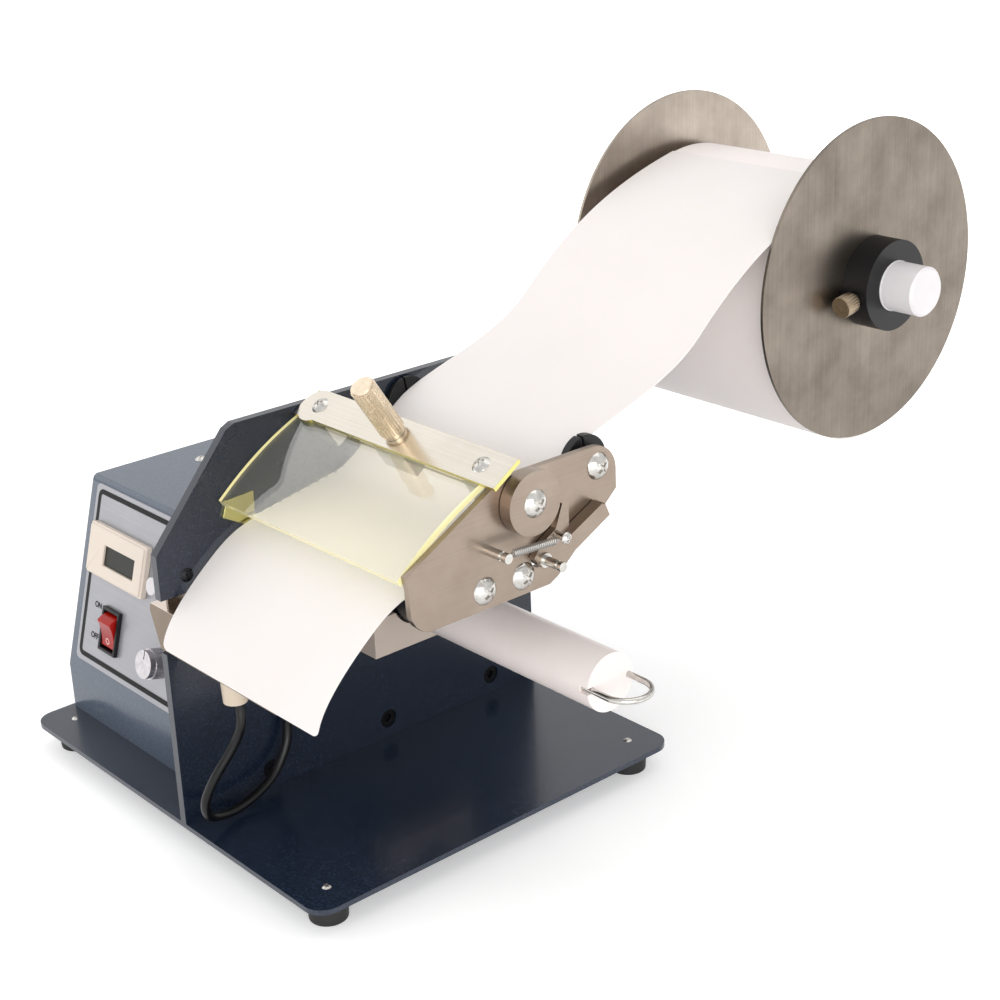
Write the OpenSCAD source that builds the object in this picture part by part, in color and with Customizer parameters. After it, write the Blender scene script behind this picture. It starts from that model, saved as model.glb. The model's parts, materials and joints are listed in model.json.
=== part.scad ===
// Benchtop label dispenser: a web of labels runs from a reel over a bed and under a clear cover.
// X runs along the front edge of the base to the right, Y to the back and Z up.
// The origin is on the floor, below the centre of the whole machine.

/* [Base] */
// Width of the base plate
base_w = 235; // [215:1:260]
// Depth of the base plate
base_d = 203; // [200:1:230]
// Thickness of the base plate
base_t = 2.4; // [1.5:0.1:5]
// Corner radius of the base plate
base_corner_r = 9.5; // [2:0.5:12]
// Radius of a rubber foot
foot_r = 9; // [6:0.5:12]
// Height of a rubber foot
foot_h = 11.5; // [5:0.2:20]
// Distance of a foot's centre from the edges of the base
foot_inset = 14.9; // [11:0.5:20]

/* [Main plate] */
// Left face of the main plate, from the left end of the base
plate_x = 133.4; // [130:0.5:140]
// Thickness of the main plate
plate_t = 4.2; // [3:0.1:6]
// Height of the main plate
plate_h = 173.7; // [171:0.5:180]
// How far the main plate stands out behind the base plate
plate_over = 1; // [0:0.5:4]
// Height of the nose, where the front edge starts to lean back
nose_z = 126.4; // [115:0.5:135]
// Inner face of the main plate to inner face of the side plate
throat_w = 120.4; // [119:0.2:126]

/* [Control box] */
// Distance of the box's left side from the left end of the base
box_x = 0.6; // [0.2:0.1:2]
// Distance of the box's front from the front of the base
box_y = 21.6; // [19:0.2:24]
// Distance of the box's back from the back of the base
box_back = 5; // [3:0.2:9]
// Height of the box
box_h = 114.6; // [113:0.2:116]
// Height of the upright foot of the panel
plinth_h = 23.1; // [18:0.2:27]
// Lean of the panel from upright, in degrees
panel_tilt = 15.45; // [13:0.05:18]
// Thickness of the box's sheet
box_wall = 1.5; // [1:0.1:2]

/* [Panel] */
// Thickness of the printed plate on the panel
overlay_t = 0.8; // [0.5:0.1:1.2]
// Width of the counter's bezel
counter_w = 49.5; // [47:0.5:53]
// Height of the counter's bezel
counter_h = 24.8; // [23:0.2:27]
// How far the counter's bezel stands proud
counter_t = 4; // [3:0.5:6]
// Width of the counter's window
window_w = 27.2; // [20:0.2:32]
// Height of the counter's window
window_h = 9.8; // [8:0.2:12]
// Width of the rocker switch's bezel
switch_w = 15; // [14:0.5:18]
// Height of the rocker switch's bezel
switch_h = 21.5; // [20:0.5:23]
// Angle of the rocker from level at rest, in degrees
rocker_tilt = 19; // [14:1:20]
// Radius of the speed knob
knob_r = 7; // [6:0.5:9]
// Height of the speed knob
knob_h = 15; // [12:0.5:20]
// Radius of the reset button
button_r = 4.2; // [3:0.2:4.6]

/* [Side plate and lever] */
// Thickness of the side plate
side_t = 3; // [2:0.1:4]
// Thickness of one layer of the pressure lever
lever_t = 3; // [2:0.1:4]
// Radius of the pressure lever's round head
lever_head_r = 13.3; // [12:0.1:13.6]
// Radius of the cross shaft that the lever turns on
pivot_r = 3.4; // [2.5:0.1:4]
// Radius of the head of a side plate screw
side_head_r = 5.8; // [5:0.1:6.5]
// Wire diameter of the lever's spring
spring_wire = 0.45; // [0.35:0.05:0.45]
// Outer radius of the lever's spring
spring_r = 1.7; // [1.5:0.1:2.2]
// Number of curls of the lever's spring
spring_curls = 24; // [12:1:25]

/* [Rollers] */
// Radius of the driven rubber roller
drive_r = 10.9; // [10:0.1:11]
// Radius of the pinch roller
pinch_r = 9; // [8.5:0.1:9.2]
// Radius of the driven roller's shaft
drive_shaft_r = 3.5; // [2.5:0.1:3.9]
// Radius of the pinch roller's axle
pinch_axle_r = 3; // [2:0.1:3.4]
// Radius of the take-up roller
take_up_r = 13; // [12.6:0.1:13.4]
// Length of the take-up roller
take_up_l = 125.3; // [110:0.5:128]
// Wire radius of the take-up roller's clip
clip_r = 1.4; // [1:0.1:1.6]
// Distance between the clip's two legs
clip_w = 21; // [19:0.5:21.5]
// How far the clip's loop stands out of the roller
clip_out = 21; // [15:0.5:30]

/* [Cover] */
// Thickness of the clear cover
cover_t = 3; // [2:0.1:4]
// Visible length of the clear cover along its slope
cover_l = 49.5; // [47:0.5:51]
// Slope of the clear cover, in degrees
cover_tilt = 32.7; // [32:0.1:33.5]
// How far the clear cover is arched
cover_arch = 2; // [0.5:0.1:3]
// Thickness of the cross plate
cross_t = 2; // [1.5:0.1:4]
// Width of the cross plate along the slope
cross_w = 15.5; // [14:0.5:18]
// Radius of the clamp knob
clamp_r = 5.4; // [4:0.1:6.5]
// Height of the clamp knob
clamp_h = 28; // [20:0.5:36]

/* [Labels and reel] */
// Width of the label web
paper_w = 108.7; // [90:0.1:108.8]
// Thickness of the label web
web_t = 0.3; // [0.2:0.05:0.4]
// Outer radius of the roll of labels
roll_r = 62; // [52:0.5:66]
// Inner radius of the roll's core
core_r = 25; // [19:0.5:30]
// Wall of the roll's core
core_wall = 3; // [1.5:0.1:5]
// Radius of a reel flange
flange_r = 73.7; // [70:0.1:76]
// Thickness of a reel flange
flange_t = 1.5; // [1:0.1:2]
// Radius of the reel's shaft
shaft_r = 11.55; // [10:0.05:13]
// Length of the reel's shaft
shaft_l = 151; // [140:0.5:160]
// Distance of the reel's axis behind the base plate
reel_out = 113.6; // [112:0.2:119]
// Height of the reel's axis above the base plate
reel_z = 198.9; // [197:0.1:201]
// Radius of the clamping collar
collar_r = 20.7; // [18:0.1:24]
// Width of the clamping collar
collar_w = 13.9; // [12:0.1:16]
// Radius of the thumb screw's head
thumb_r = 4.9; // [4:0.1:6]

/* [Sensor] */
// Thickness of the sensor bracket's sheet
bracket_t = 1.5; // [1:0.1:2]
// Length of the sensor bracket
bracket_l = 95; // [80:1:110]
// Upper radius of the sensor's tapered housing
sensor_r = 8; // [6:0.1:9]
// Diameter of the sensor's lead
lead_d = 2.5; // [2:0.1:3]

/* [Hidden] */
$fn = 64;

// Clearances and overruns
fit_gap = 0.05;
run_gap = 0.3;
over = 1;

// Depths that follow the base plate's
plate_d = base_d + plate_over;
box_d = base_d - box_y - box_back;
reel_y = base_d + reel_out;

// Places of the two upright plates
plate_in = plate_x + plate_t;
side_x = plate_in + throat_w;
side_out = side_x + side_t;

// Stand height and the point on the floor that the origin lies over
stand_h = base_t + foot_h;
hub_l = 12.4;
take_up_x = plate_in + hub_l;
clip_end_x = take_up_x + take_up_l + clip_out;
web_foot_y = -3;
centre_x = clip_end_x / 2;
centre_y = (web_foot_y - web_t / 2 + reel_y + flange_r) / 2;

// Moves what is drawn from the base plate's front left corner to the part's frame
module framed() {
    translate([-centre_x, -centre_y, stand_h]) children();
}

// Extrudes an outline given in Y and Z along X
module slab(x, thick) {
    translate([x, 0, 0]) rotate([90, 0, 90]) linear_extrude(thick) children();
}

// A round bar along X
module bar(x, y, z, r, l) {
    translate([x, y, z]) rotate([0, 90, 0]) cylinder(r = r, h = l);
}

// A rectangle with round corners, from its lower left corner
module round_rect(w, h, r) {
    translate([r, 0]) square([w - 2 * r, h]);
    translate([0, r]) square([w, h - 2 * r]);
    for (x = [r, w - r], y = [r, h - r]) translate([x, y]) circle(r);
}

// Shares of a screw's head: width and floor of its slots, and the height that its shank reaches
screw_slot_share = 0.25;
screw_floor_share = 0.55;
screw_seat_share = 0.33;

// A domed screw with a cross slot: its head stands on z = 0 and its shank goes down
module screw(head_r, head_h, shank_r, shank_l) {
    cap_r = (head_r * head_r + head_h * head_h) / (2 * head_h);
    slot_w = head_r * screw_slot_share;
    difference() {
        union() {
            intersection() {
                cylinder(r = head_r, h = head_h);
                translate([0, 0, head_h - cap_r]) sphere(r = cap_r);
            }
            translate([0, 0, -shank_l]) cylinder(r = shank_r, h = shank_l + head_h * screw_seat_share);
        }
        for (turn = [45, 135]) rotate([0, 0, turn])
            translate([-head_r / 2, -slot_w / 2, head_h * screw_floor_share]) cube([head_r, slot_w, head_h]);
    }
}

// Base and frame
foot_screw_r = 1.25;
foot_screw_head_r = 2;
foot_taper_share = 0.92;
foot_floor_share = 0.33;
foot_places = [for (x = [foot_inset, base_w - foot_inset], y = [foot_inset, base_d - foot_inset]) [x, y]];

module base_plate() color("darkslateblue") framed() {
    difference() {
        translate([0, 0, -base_t]) linear_extrude(base_t) round_rect(base_w, base_d, base_corner_r);
        for (p = foot_places) translate([p.x, p.y, -base_t - over])
            cylinder(r = foot_screw_r + fit_gap, h = base_t + 2 * over);
    }
}

module rubber_feet() color("black") framed() {
    for (p = foot_places) translate([p.x, p.y, -base_t - foot_h]) difference() {
        cylinder(r1 = foot_r * foot_taper_share, r2 = foot_r, h = foot_h);
        translate([0, 0, foot_h * foot_floor_share]) cylinder(r = foot_screw_r + fit_gap, h = foot_h);
    }
}

// Outline of the main plate in Y and Z
notch_d = 18;
notch_z0 = 81.8;
notch_z1 = 106.4;
brow_y = 36.2;
brow_z = 168.4;
crown_y = 43.2;
crown_shares = [0.4, 0.62];
low_hole_shares = [0.228, 0.555, 0.868];
low_hole_ys = low_hole_shares * base_d;
low_hole_z = 9;
low_hole_r = 4.5;
fixing_y = 13.6;
fixing_z = 114.3;
fixing_r = 1.6;

// Axes along X, as Y and Z
drive_y = 82;
drive_z = 123;
pinch_y = 100.5;
pinch_z = 132;
pivot_y = 94;
pivot_z = 158.5;
take_up_y = 124.5;
take_up_z = 73.3;
rod_y = 133.5;
rod_z = 161.6;
rod_r = 4.5;
motor_y = 85;
motor_z = 50;
grommet_y = 50;
grommet_z = 51;
grommet_r = 4.4;
grommet_neck_share = 0.7;
grommet_lip = 2;

// The lever's swing, and the slot for the pinch roller's axle
lever_swing = 11;
slot_reach = norm([pinch_y - pivot_y, pinch_z - pivot_z]);
slot_start = atan2(pinch_z - pivot_z, pinch_y - pivot_y);
slot_play = 0.75;
slot_r = pinch_axle_r + slot_play;

// Points on part of a circle, from one angle to another
arc_steps = 12;
function arc(centre, r, from, to) = [for (i = [0:arc_steps]) let (a = from + (to - from) * i / arc_steps)
    [centre.x + r * cos(a), centre.y + r * sin(a)]];

// Slot that the axle swings in, as an outline about the pivot
module axle_slot() {
    a0 = slot_start - 1;
    a1 = slot_start + lever_swing + 1;
    inner = slot_reach - slot_r;
    outer = slot_reach + slot_r;
    translate([pivot_y, pivot_z]) polygon(concat(
        arc([0, 0], outer, a0, a1 - 0.2),
        arc(slot_reach * [cos(a1), sin(a1)], slot_r, a1, a1 + 180),
        arc([0, 0], inner, a1 - 0.2, a0 + 0.2),
        arc(slot_reach * [cos(a0), sin(a0)], slot_r, a0 - 180, a0 - 0.5)));
}

// Bushes in the main plate
bush_r = 7.9;
bush_bore_share = 0.84;
take_up_shaft_r = 5;
arm_screw_front = 28;
arm_screw_rear = 8;
arm_screw_zs = [126, 156, 141];
arm_screw_places = [[plate_d - arm_screw_front, arm_screw_zs[0]], [plate_d - arm_screw_front, arm_screw_zs[1]],
    [plate_d - arm_screw_rear, arm_screw_zs[2]]];
arm_screw_r = 2.5;

module main_plate_outline() {
    polygon([[0, 0], [0, notch_z0], [notch_d, notch_z0], [notch_d, notch_z1], [0, notch_z1], [0, nose_z],
        [brow_y, brow_z], [brow_y + (crown_y - brow_y) * crown_shares[0],
            brow_z + (plate_h - brow_z) * crown_shares[1]],
        [crown_y, plate_h], [plate_d, plate_h], [plate_d, 0]]);
}

module main_plate() color("darkslateblue") framed() {
    slab(plate_x, plate_t) difference() {
        main_plate_outline();
        for (y = low_hole_ys) translate([y, low_hole_z]) circle(low_hole_r);
        translate([fixing_y, fixing_z]) circle(fixing_r + fit_gap);
        translate([drive_y, drive_z]) circle(bush_r + fit_gap);
        translate([take_up_y, take_up_z]) circle(bush_r + fit_gap);
        translate([pivot_y, pivot_z]) circle(pivot_r + fit_gap);
        translate([grommet_y, grommet_z]) circle(grommet_r * grommet_neck_share + fit_gap);
        axle_slot();
        translate([rod_y, rod_z]) circle(rod_screw_r + fit_gap);
        translate([flush_y, flush_z]) circle(flush_r + fit_gap);
        for (p = arm_screw_places) translate(p) circle(arm_screw_r + fit_gap);
    }
}

// Angle that ties the main plate to the base, inside the box
angle_t = 3;
angle_h = 22;
angle_w = 21;
module plate_angle() color("dimgray") framed() {
    y0 = box_y + box_wall + over;
    y1 = box_y + box_d - box_wall - over;
    difference() {
        translate([plate_x, y0, 0]) rotate([-90, -90, 0]) linear_extrude(y1 - y0)
            polygon([[0, 0], [angle_h, 0], [angle_h, -angle_t], [angle_t, -angle_t], [angle_t, -angle_w],
                [0, -angle_w]]);
        for (y = low_hole_ys) bar(plate_x - angle_t - over, y, low_hole_z, fixing_r + fit_gap, angle_t + 2 * over);
    }
}

low_head_share = 0.8;
low_socket_shares = [0.3, 0.5];
// Black socket screws: three sunk in the main plate's foot, one for the sensor bracket's ear
module plate_screws() color("black") framed() {
    for (y = low_hole_ys) translate([0, y, low_hole_z]) rotate([0, 90, 0]) difference() {
        union() {
            translate([0, 0, plate_x + fit_gap]) cylinder(r = low_hole_r - fit_gap, h = plate_t * low_head_share);
            translate([0, 0, plate_x - angle_t]) cylinder(r = fixing_r, h = angle_t + over);
        }
        translate([0, 0, plate_x + plate_t * low_socket_shares[0]]) 
            cylinder(r = low_hole_r * low_socket_shares[1], h = plate_t, $fn = 6);
    }
    translate([plate_in, fixing_y, fixing_z]) rotate([0, 90, 0])
        screw(2 * fixing_r, fixing_r, fixing_r, plate_t + angle_t);
}

// Control box and panel
face_y = box_y;
face_l = (box_h - plinth_h) / cos(panel_tilt);
box_top_y = face_y + (box_h - plinth_h) * tan(panel_tilt);
box_w = plate_x - box_x;
belt_slot_x = 116;
belt_slot_w = plate_x - belt_slot_x + over;
belt_slot_front = 17;
belt_slot_y = drive_y - belt_slot_front;
belt_slot_d = 37;

// Outline of the box, drawn in by a wall
module box_outline(wall) {
    t = tan(panel_tilt);
    back_y = box_y + box_d - wall;
    low_y = face_y + wall;
    low_z = plinth_h + wall * tan(panel_tilt / 2);
    top_y = low_y + (box_h - wall - low_z) * t;
    polygon([[low_y, -wall], [low_y, low_z], [top_y, box_h - wall], [back_y, box_h - wall], [back_y, -wall]]);
}

// Places things on the sloping panel: x along it, s up it, z out of it
module on_panel(x, s) {
    translate([x, face_y + s * sin(panel_tilt), plinth_h + s * cos(panel_tilt)])
        rotate([90 - panel_tilt, 0, 0]) children();
}

counter_x = 12.8;
counter_s = 50.6;
counter_cut_share = 0.86;
counter_body_l = 24;
counter_lip = 1;
window_off = [3.6, -0.8];
window_floor_share = 0.55;
display_share = 0.15;
switch_x = 30;
switch_s = 16.7;
switch_cut_share = 0.86;
knob_x = 90;
knob_s = 29.5;
pot_bush_r = 3.2;
button_x = 69.7;
button_s = 59.3;
overlay_x = 8.8;
overlay_s = 6;
overlay_top = 2;
overlay_r = 3;
overlay_end = 3.6;

// The four cut-outs of the panel, drawn in the panel's own plane
module panel_cuts(ease) {
    translate([counter_x + counter_w / 2, counter_s + counter_h / 2])
        square([counter_w, counter_h] * counter_cut_share + [ease, ease] * 2, center = true);
    translate([switch_x + switch_w / 2, switch_s + switch_h / 2])
        square([switch_w, switch_h] * switch_cut_share + [ease, ease] * 2, center = true);
    translate([knob_x, knob_s]) circle(pot_bush_r + ease);
    translate([button_x, button_s]) circle(button_r + run_gap / 2 + ease);
}

inlet_x = 9;
inlet_z = 58;
inlet_w = 50;
inlet_h = 24;
inlet_body_w = 28;
inlet_body_h = 20;
inlet_body_l = 24;
inlet_flange_t = 3;
socket_w_share = 0.86;
socket_h_share = 0.8;
socket_d_share = 0.8;
pin_pitch_share = 0.25;
pin_w_share = 0.07;
pin_rise_share = 0.125;
lid_screw_x = 22.5;
lid_screw_y = 94.8;
lid_screw_r = 1.5;

module control_box() color("slategray") framed() {
    difference() {
        slab(box_x, box_w) intersection() {
            box_outline(0);
            square([base_d, box_h]);
        }
        slab(box_x + box_wall, box_w) box_outline(box_wall);
        on_panel(0, 0) translate([0, 0, -2 * box_wall]) linear_extrude(4 * box_wall) panel_cuts(fit_gap);
        translate([inlet_x + (inlet_w - inlet_body_w) / 2 - fit_gap, box_y + box_d - 2 * box_wall,
            inlet_z + (inlet_h - inlet_body_h) / 2 - fit_gap])
            cube([inlet_body_w + 2 * fit_gap, 4 * box_wall, inlet_body_h + 2 * fit_gap]);
        translate([belt_slot_x, belt_slot_y, box_h - 2 * box_wall])
            cube([belt_slot_w, belt_slot_d, 4 * box_wall]);
        translate([lid_screw_x, lid_screw_y, box_h - 2 * box_wall])
            cylinder(r = lid_screw_r + fit_gap, h = 4 * box_wall);
    }
}

module panel_overlay() color("silver") framed() {
    on_panel(0, 0) linear_extrude(overlay_t) difference() {
        translate([overlay_x, overlay_s])
            round_rect(plate_x - overlay_x - overlay_end, face_l - overlay_s - overlay_top, overlay_r);
        panel_cuts(fit_gap);
    }
}

// Counter with a sunk window: bezel in front of the panel, body behind it
module counter_case() color("antiquewhite") framed() {
    body = [counter_w, counter_h] * counter_cut_share;
    lip = counter_lip;
    on_panel(counter_x + counter_w / 2, counter_s + counter_h / 2) difference() {
        union() {
            translate([0, 0, overlay_t]) linear_extrude(counter_t - lip)
                translate([-counter_w, -counter_h] / 2) round_rect(counter_w, counter_h, lip);
            translate([0, 0, overlay_t + counter_t - lip]) linear_extrude(lip)
                translate([lip - counter_w / 2, lip - counter_h / 2])
                round_rect(counter_w - 2 * lip, counter_h - 2 * lip, lip);
            translate([-body.x / 2, -body.y / 2, -counter_body_l])
                cube([body.x, body.y, counter_body_l + overlay_t + lip]);
        }
        translate([window_off.x - window_w / 2, window_off.y - window_h / 2,
            overlay_t + counter_t * window_floor_share])
            cube([window_w, window_h, counter_t]);
    }
}

module counter_display() color("darkolivegreen") framed() {
    on_panel(counter_x + counter_w / 2, counter_s + counter_h / 2)
        translate([window_off.x - window_w / 2 + fit_gap, window_off.y - window_h / 2 + fit_gap,
            overlay_t + counter_t * window_floor_share])
        cube([window_w - 2 * fit_gap, window_h - 2 * fit_gap, counter_t * display_share]);
}

// Rocker switch
switch_wall = 1.6;
switch_proud = 2.2;
rocker_l = switch_h - 2 * switch_wall - 2 * run_gap;
rocker_w = switch_w - 2 * switch_wall - 2 * run_gap;
rocker_round_share = 0.47;
rocker_arc_share = 1.28;
rocker_dip_share = 0.246;
rocker_foot_share = 0.12;
rocker_axis_share = 0.216;
rocker_arc_r = rocker_l * rocker_arc_share;
switch_body_l = 18;

module switch_housing() color("black") framed() {
    on_panel(switch_x + switch_w / 2, switch_s + switch_h / 2) difference() {
        union() {
            translate([-switch_w / 2, -switch_h / 2, overlay_t]) cube([switch_w, switch_h, switch_proud]);
            translate([-switch_w * switch_cut_share / 2, -switch_h * switch_cut_share / 2, -switch_body_l])
                cube([switch_w * switch_cut_share, switch_h * switch_cut_share, switch_body_l + 2 * overlay_t]);
        }
        translate([-switch_w / 2 + switch_wall, -switch_h / 2 + switch_wall, -switch_body_l / 2])
            cube([switch_w - 2 * switch_wall, switch_h - 2 * switch_wall, switch_body_l]);
    }
}

// The rocker turns about the line that carries its back's round
module rocker() color("firebrick") framed() {
    on_panel(switch_x + switch_w / 2, switch_s + switch_h / 2) translate([0, 0, rocker_axis_h])
        rotate([rocker_tilt, 0, 0]) translate([-rocker_w / 2, 0, 0]) rotate([90, 0, 90])
        linear_extrude(rocker_w) difference() {
            circle(rocker_l * rocker_round_share);
            translate([0, rocker_arc_r + rocker_l * rocker_dip_share]) circle(rocker_arc_r);
            translate([-rocker_l, -rocker_l - rocker_l * rocker_foot_share]) square([2 * rocker_l, rocker_l]);
        }
}
rocker_axis_h = overlay_t + switch_proud - rocker_l * rocker_axis_share;

// Shares of the knob: its dial part, cap, skirt, flutes, pointer line and bore, and those of the control
knob_side_share = 0.8;
knob_cap_share = 0.93;
knob_skirt_shares = [1.12, 0.16];
knob_flute_shares = [1.03, 0.22, 0.09, 0.5];
knob_line_shares = [0.1, 0.35, 0.95];
knob_bore_shares = [0.15, 0.65];
control_shares = [1.15, 1.4, 0.6];

module speed_control() color("dimgray") framed() {
    on_panel(knob_x, knob_s) {
        translate([0, 0, -box_wall - knob_r * control_shares[1]])
            cylinder(r = knob_r * control_shares[0], h = knob_r * control_shares[1]);
        translate([0, 0, -box_wall - over / 2]) cylinder(r = pot_bush_r, h = box_wall + overlay_t + over);
        cylinder(r = pot_bush_r * control_shares[2], h = overlay_t + knob_h * control_shares[2]);
    }
}

module speed_knob() color("silver") framed() {
    flutes = 18;
    on_panel(knob_x, knob_s) translate([0, 0, overlay_t + run_gap]) difference() {
        union() {
            cylinder(r = knob_r, h = knob_h * knob_side_share);
            cylinder(r = knob_r * knob_cap_share, h = knob_h);
            cylinder(r = knob_r * knob_skirt_shares[0], h = knob_h * knob_skirt_shares[1]);
        }
        for (i = [1:flutes]) rotate([0, 0, 360 * i / flutes])
            translate([knob_r * knob_flute_shares[0], 0, knob_h * knob_flute_shares[1]])
            cylinder(r = knob_r * knob_flute_shares[2], h = knob_h * knob_flute_shares[3], $fn = 16);
        translate([-knob_r * knob_line_shares[0] / 2, knob_r * knob_line_shares[1], knob_h * knob_line_shares[2]])
            cube([knob_r * knob_line_shares[0], knob_r, knob_h]);
        translate([0, 0, -over]) cylinder(r = pot_bush_r + run_gap, h = over + knob_h * knob_bore_shares[0]);
        cylinder(r = pot_bush_r * control_shares[2] + fit_gap, h = knob_h * knob_bore_shares[1]);
    }
}

// Reset button: a cap that travels in its switch
button_travel = 1.6;
button_proud = 3.6;
button_body_l = 12;
button_body_share = 1.5;
module reset_switch() color("black") framed() {
    on_panel(button_x, button_s) translate([0, 0, -box_wall - button_body_l]) difference() {
        cylinder(r = button_r * button_body_share, h = button_body_l);
        translate([0, 0, button_body_l / 2]) cylinder(r = button_r + run_gap / 2, h = button_body_l);
    }
}

module reset_button() color("white") framed() {
    on_panel(button_x, button_s) {
        translate([0, 0, -box_wall - button_body_l / 2 + button_travel + run_gap])
            cylinder(r = button_r,
                h = box_wall + button_body_l / 2 - button_travel + overlay_t + button_proud - 2 * run_gap);
    }
}

// Works inside the box
board_x = 66;
board_rear = 10.5;
board_gap = 13;
motor_body_r = 18;
board_w = 36;
board_t = 1.6;
board_y = motor_y + motor_body_r + board_gap;
board_d = base_d - box_back - box_wall - board_rear - board_y;
post_h = 8;
post_r = 3;
board_post_inset = 6;
board_cap_share = 0.25;
chip_shares = [0.5, 0.2, 0.35, 0.25];
relay_shares = [0.5, 0.6, 0.2, 0.3];
module circuit_board() color("seagreen") framed() {
    for (x = [board_x + board_post_inset, board_x + board_w - board_post_inset],
        y = [board_y + board_post_inset, board_y + board_d - board_post_inset])
        translate([x, y, 0]) cylinder(r = post_r, h = post_h);
    translate([board_x, board_y, post_h]) cube([board_w, board_d, board_t]);
    translate([board_x, board_y, post_h + board_t]) {
        for (i = [1:4]) translate([board_w * board_cap_share, board_d * i / 5, 0])
            cylinder(r = post_r, h = 2 * post_h);
        translate([board_w * chip_shares[0], board_d * chip_shares[1], 0])
            cube([board_w * chip_shares[2], board_d * chip_shares[3], post_h]);
        translate([board_w * relay_shares[0], board_d * relay_shares[1], 0])
            cube([board_w * relay_shares[2], board_d * relay_shares[3], 2 * post_h]);
    }
}

core_w = 44;
core_share = 18 / 35;
core_d = board_d * core_share;
core_h = 38;
core_inset = 12;
core_leg_share = 0.16;
coil_out_share = 0.25;
module transformer() color("dimgray") framed() {
    translate([box_x + core_inset, board_y + board_post_inset, 0]) {
        cube([core_w, core_d, core_h / 3]);
        translate([0, 0, core_h * 2 / 3]) cube([core_w, core_d, core_h / 3]);
        for (i = [0:2]) translate([i * core_w * (1 - core_leg_share) / 2, 0, 0])
            cube([core_w * core_leg_share, core_d, core_h]);
        translate([core_w * core_leg_share, -core_d * coil_out_share, core_h / 3])
            cube([core_w * (1 - 2 * core_leg_share), core_d * (1 + 2 * coil_out_share), core_h / 3]);
    }
}

module power_inlet() color("black") framed() {
    back = box_y + box_d;
    translate([inlet_x, back, inlet_z]) difference() {
        union() {
            cube([inlet_w, inlet_flange_t, inlet_h]);
            translate([(inlet_w - inlet_body_w) / 2, -inlet_body_l, (inlet_h - inlet_body_h) / 2])
                cube([inlet_body_w, inlet_body_l + inlet_flange_t, inlet_body_h]);
        }
        translate([(inlet_w - inlet_body_w * socket_w_share) / 2, inlet_flange_t - inlet_body_l * socket_d_share,
            (inlet_h - inlet_body_h * socket_h_share) / 2])
            cube([inlet_body_w * socket_w_share, inlet_body_l, inlet_body_h * socket_h_share]);
    }
    for (i = [-1:1]) translate([inlet_x + inlet_w / 2 + i * inlet_body_w * pin_pitch_share, back - inlet_body_l,
        inlet_z + inlet_h / 2 + (i == 0 ? 1 : -1) * inlet_body_h * pin_rise_share])
        cube([inlet_body_w * pin_w_share, inlet_body_l * socket_d_share, inlet_body_h * pin_pitch_share]);
}

// Motor with its gearbox, and the angle that it hangs on
motor_x = 20;
motor_l = 56;
gearbox_l = 28;
gearbox_w = 38;
motor_shaft_r = 4;
motor_boss_share = 0.4;
motor_boss_l = 3;
motor_face_x = motor_x + motor_l + gearbox_l;
bracket_w = 2.5;
module gear_motor() color("gray") framed() {
    bar(motor_x, motor_y, motor_z, motor_body_r, motor_l + over);
    bar(motor_x - motor_boss_l, motor_y, motor_z, motor_body_r * motor_boss_share, motor_boss_l + over);
    difference() {
        translate([motor_x + motor_l, motor_y - gearbox_w / 2, motor_z - gearbox_w / 2])
            cube([gearbox_l, gearbox_w, gearbox_w]);
        bar(motor_face_x - gearbox_l / 2, motor_y, motor_z, motor_shaft_r + fit_gap, gearbox_l);
    }
}

module motor_bracket() color("silver") framed() {
    difference() {
        union() {
            translate([motor_face_x, motor_y - gearbox_w / 2, 0])
                cube([bracket_w, gearbox_w, motor_z + gearbox_w / 2]);
            translate([motor_face_x - gearbox_l, motor_y - gearbox_w / 2, 0])
                cube([gearbox_l, gearbox_w, bracket_w]);
        }
        bar(motor_face_x - over, motor_y, motor_z, motor_shaft_r + run_gap, bracket_w + 2 * over);
    }
}

// Two pulley planes: the take-up belt's and the driven roller's
belt_side_gap = 2.5;
belt_gap = 4;
belt_w = 6;
low_belt_x = motor_face_x + bracket_w + belt_side_gap;
high_belt_x = low_belt_x + belt_w + belt_gap;
belt_t = 1.6;
rim_t = 1;
rim_h = 2;
belt_play_share = 0.05;
motor_pulley_r = 9;
drive_pulley_r = 11;
take_up_pulley_r = 14;

module pulley(x, y, z, r) {
    bar(x - rim_t, y, z, r + rim_h, rim_t);
    bar(x - fit_gap, y, z, r, belt_w + 2 * fit_gap);
    bar(x + belt_w, y, z, r + rim_h, rim_t);
}

module motor_shaft() color("lightgray") framed() {
    bar(motor_face_x - gearbox_l / 2 + run_gap, motor_y, motor_z, motor_shaft_r,
        high_belt_x + belt_w + 2 * rim_t - motor_face_x + gearbox_l / 2 - run_gap);
    pulley(low_belt_x, motor_y, motor_z, motor_pulley_r);
    pulley(high_belt_x, motor_y, motor_z, motor_pulley_r);
}

// Outline around two circles, given as Y, Z and radius
module belt_loop(a, b) {
    d = norm([b.x - a.x, b.y - a.y]);
    along = atan2(b.y - a.y, b.x - a.x);
    lean = acos((a.z - b.z) / d);
    polygon(concat(arc(b, b.z, along - lean, along + lean), arc(a, a.z, along + lean, along + 360 - lean)));
}

module belt(x, a, b) {
    inner = [0, 0, run_gap / 2];
    outer = [0, 0, run_gap / 2 + belt_t];
    slab(x + belt_w * belt_play_share, belt_w * (1 - 2 * belt_play_share)) difference() {
        belt_loop(a + outer, b + outer);
        belt_loop(a + inner, b + inner);
    }
}

module belts() color("black") framed() {
    belt(low_belt_x, [motor_y, motor_z, motor_pulley_r], [take_up_y, take_up_z, take_up_pulley_r]);
    belt(high_belt_x, [motor_y, motor_z, motor_pulley_r], [drive_y, drive_z, drive_pulley_r]);
}

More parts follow.
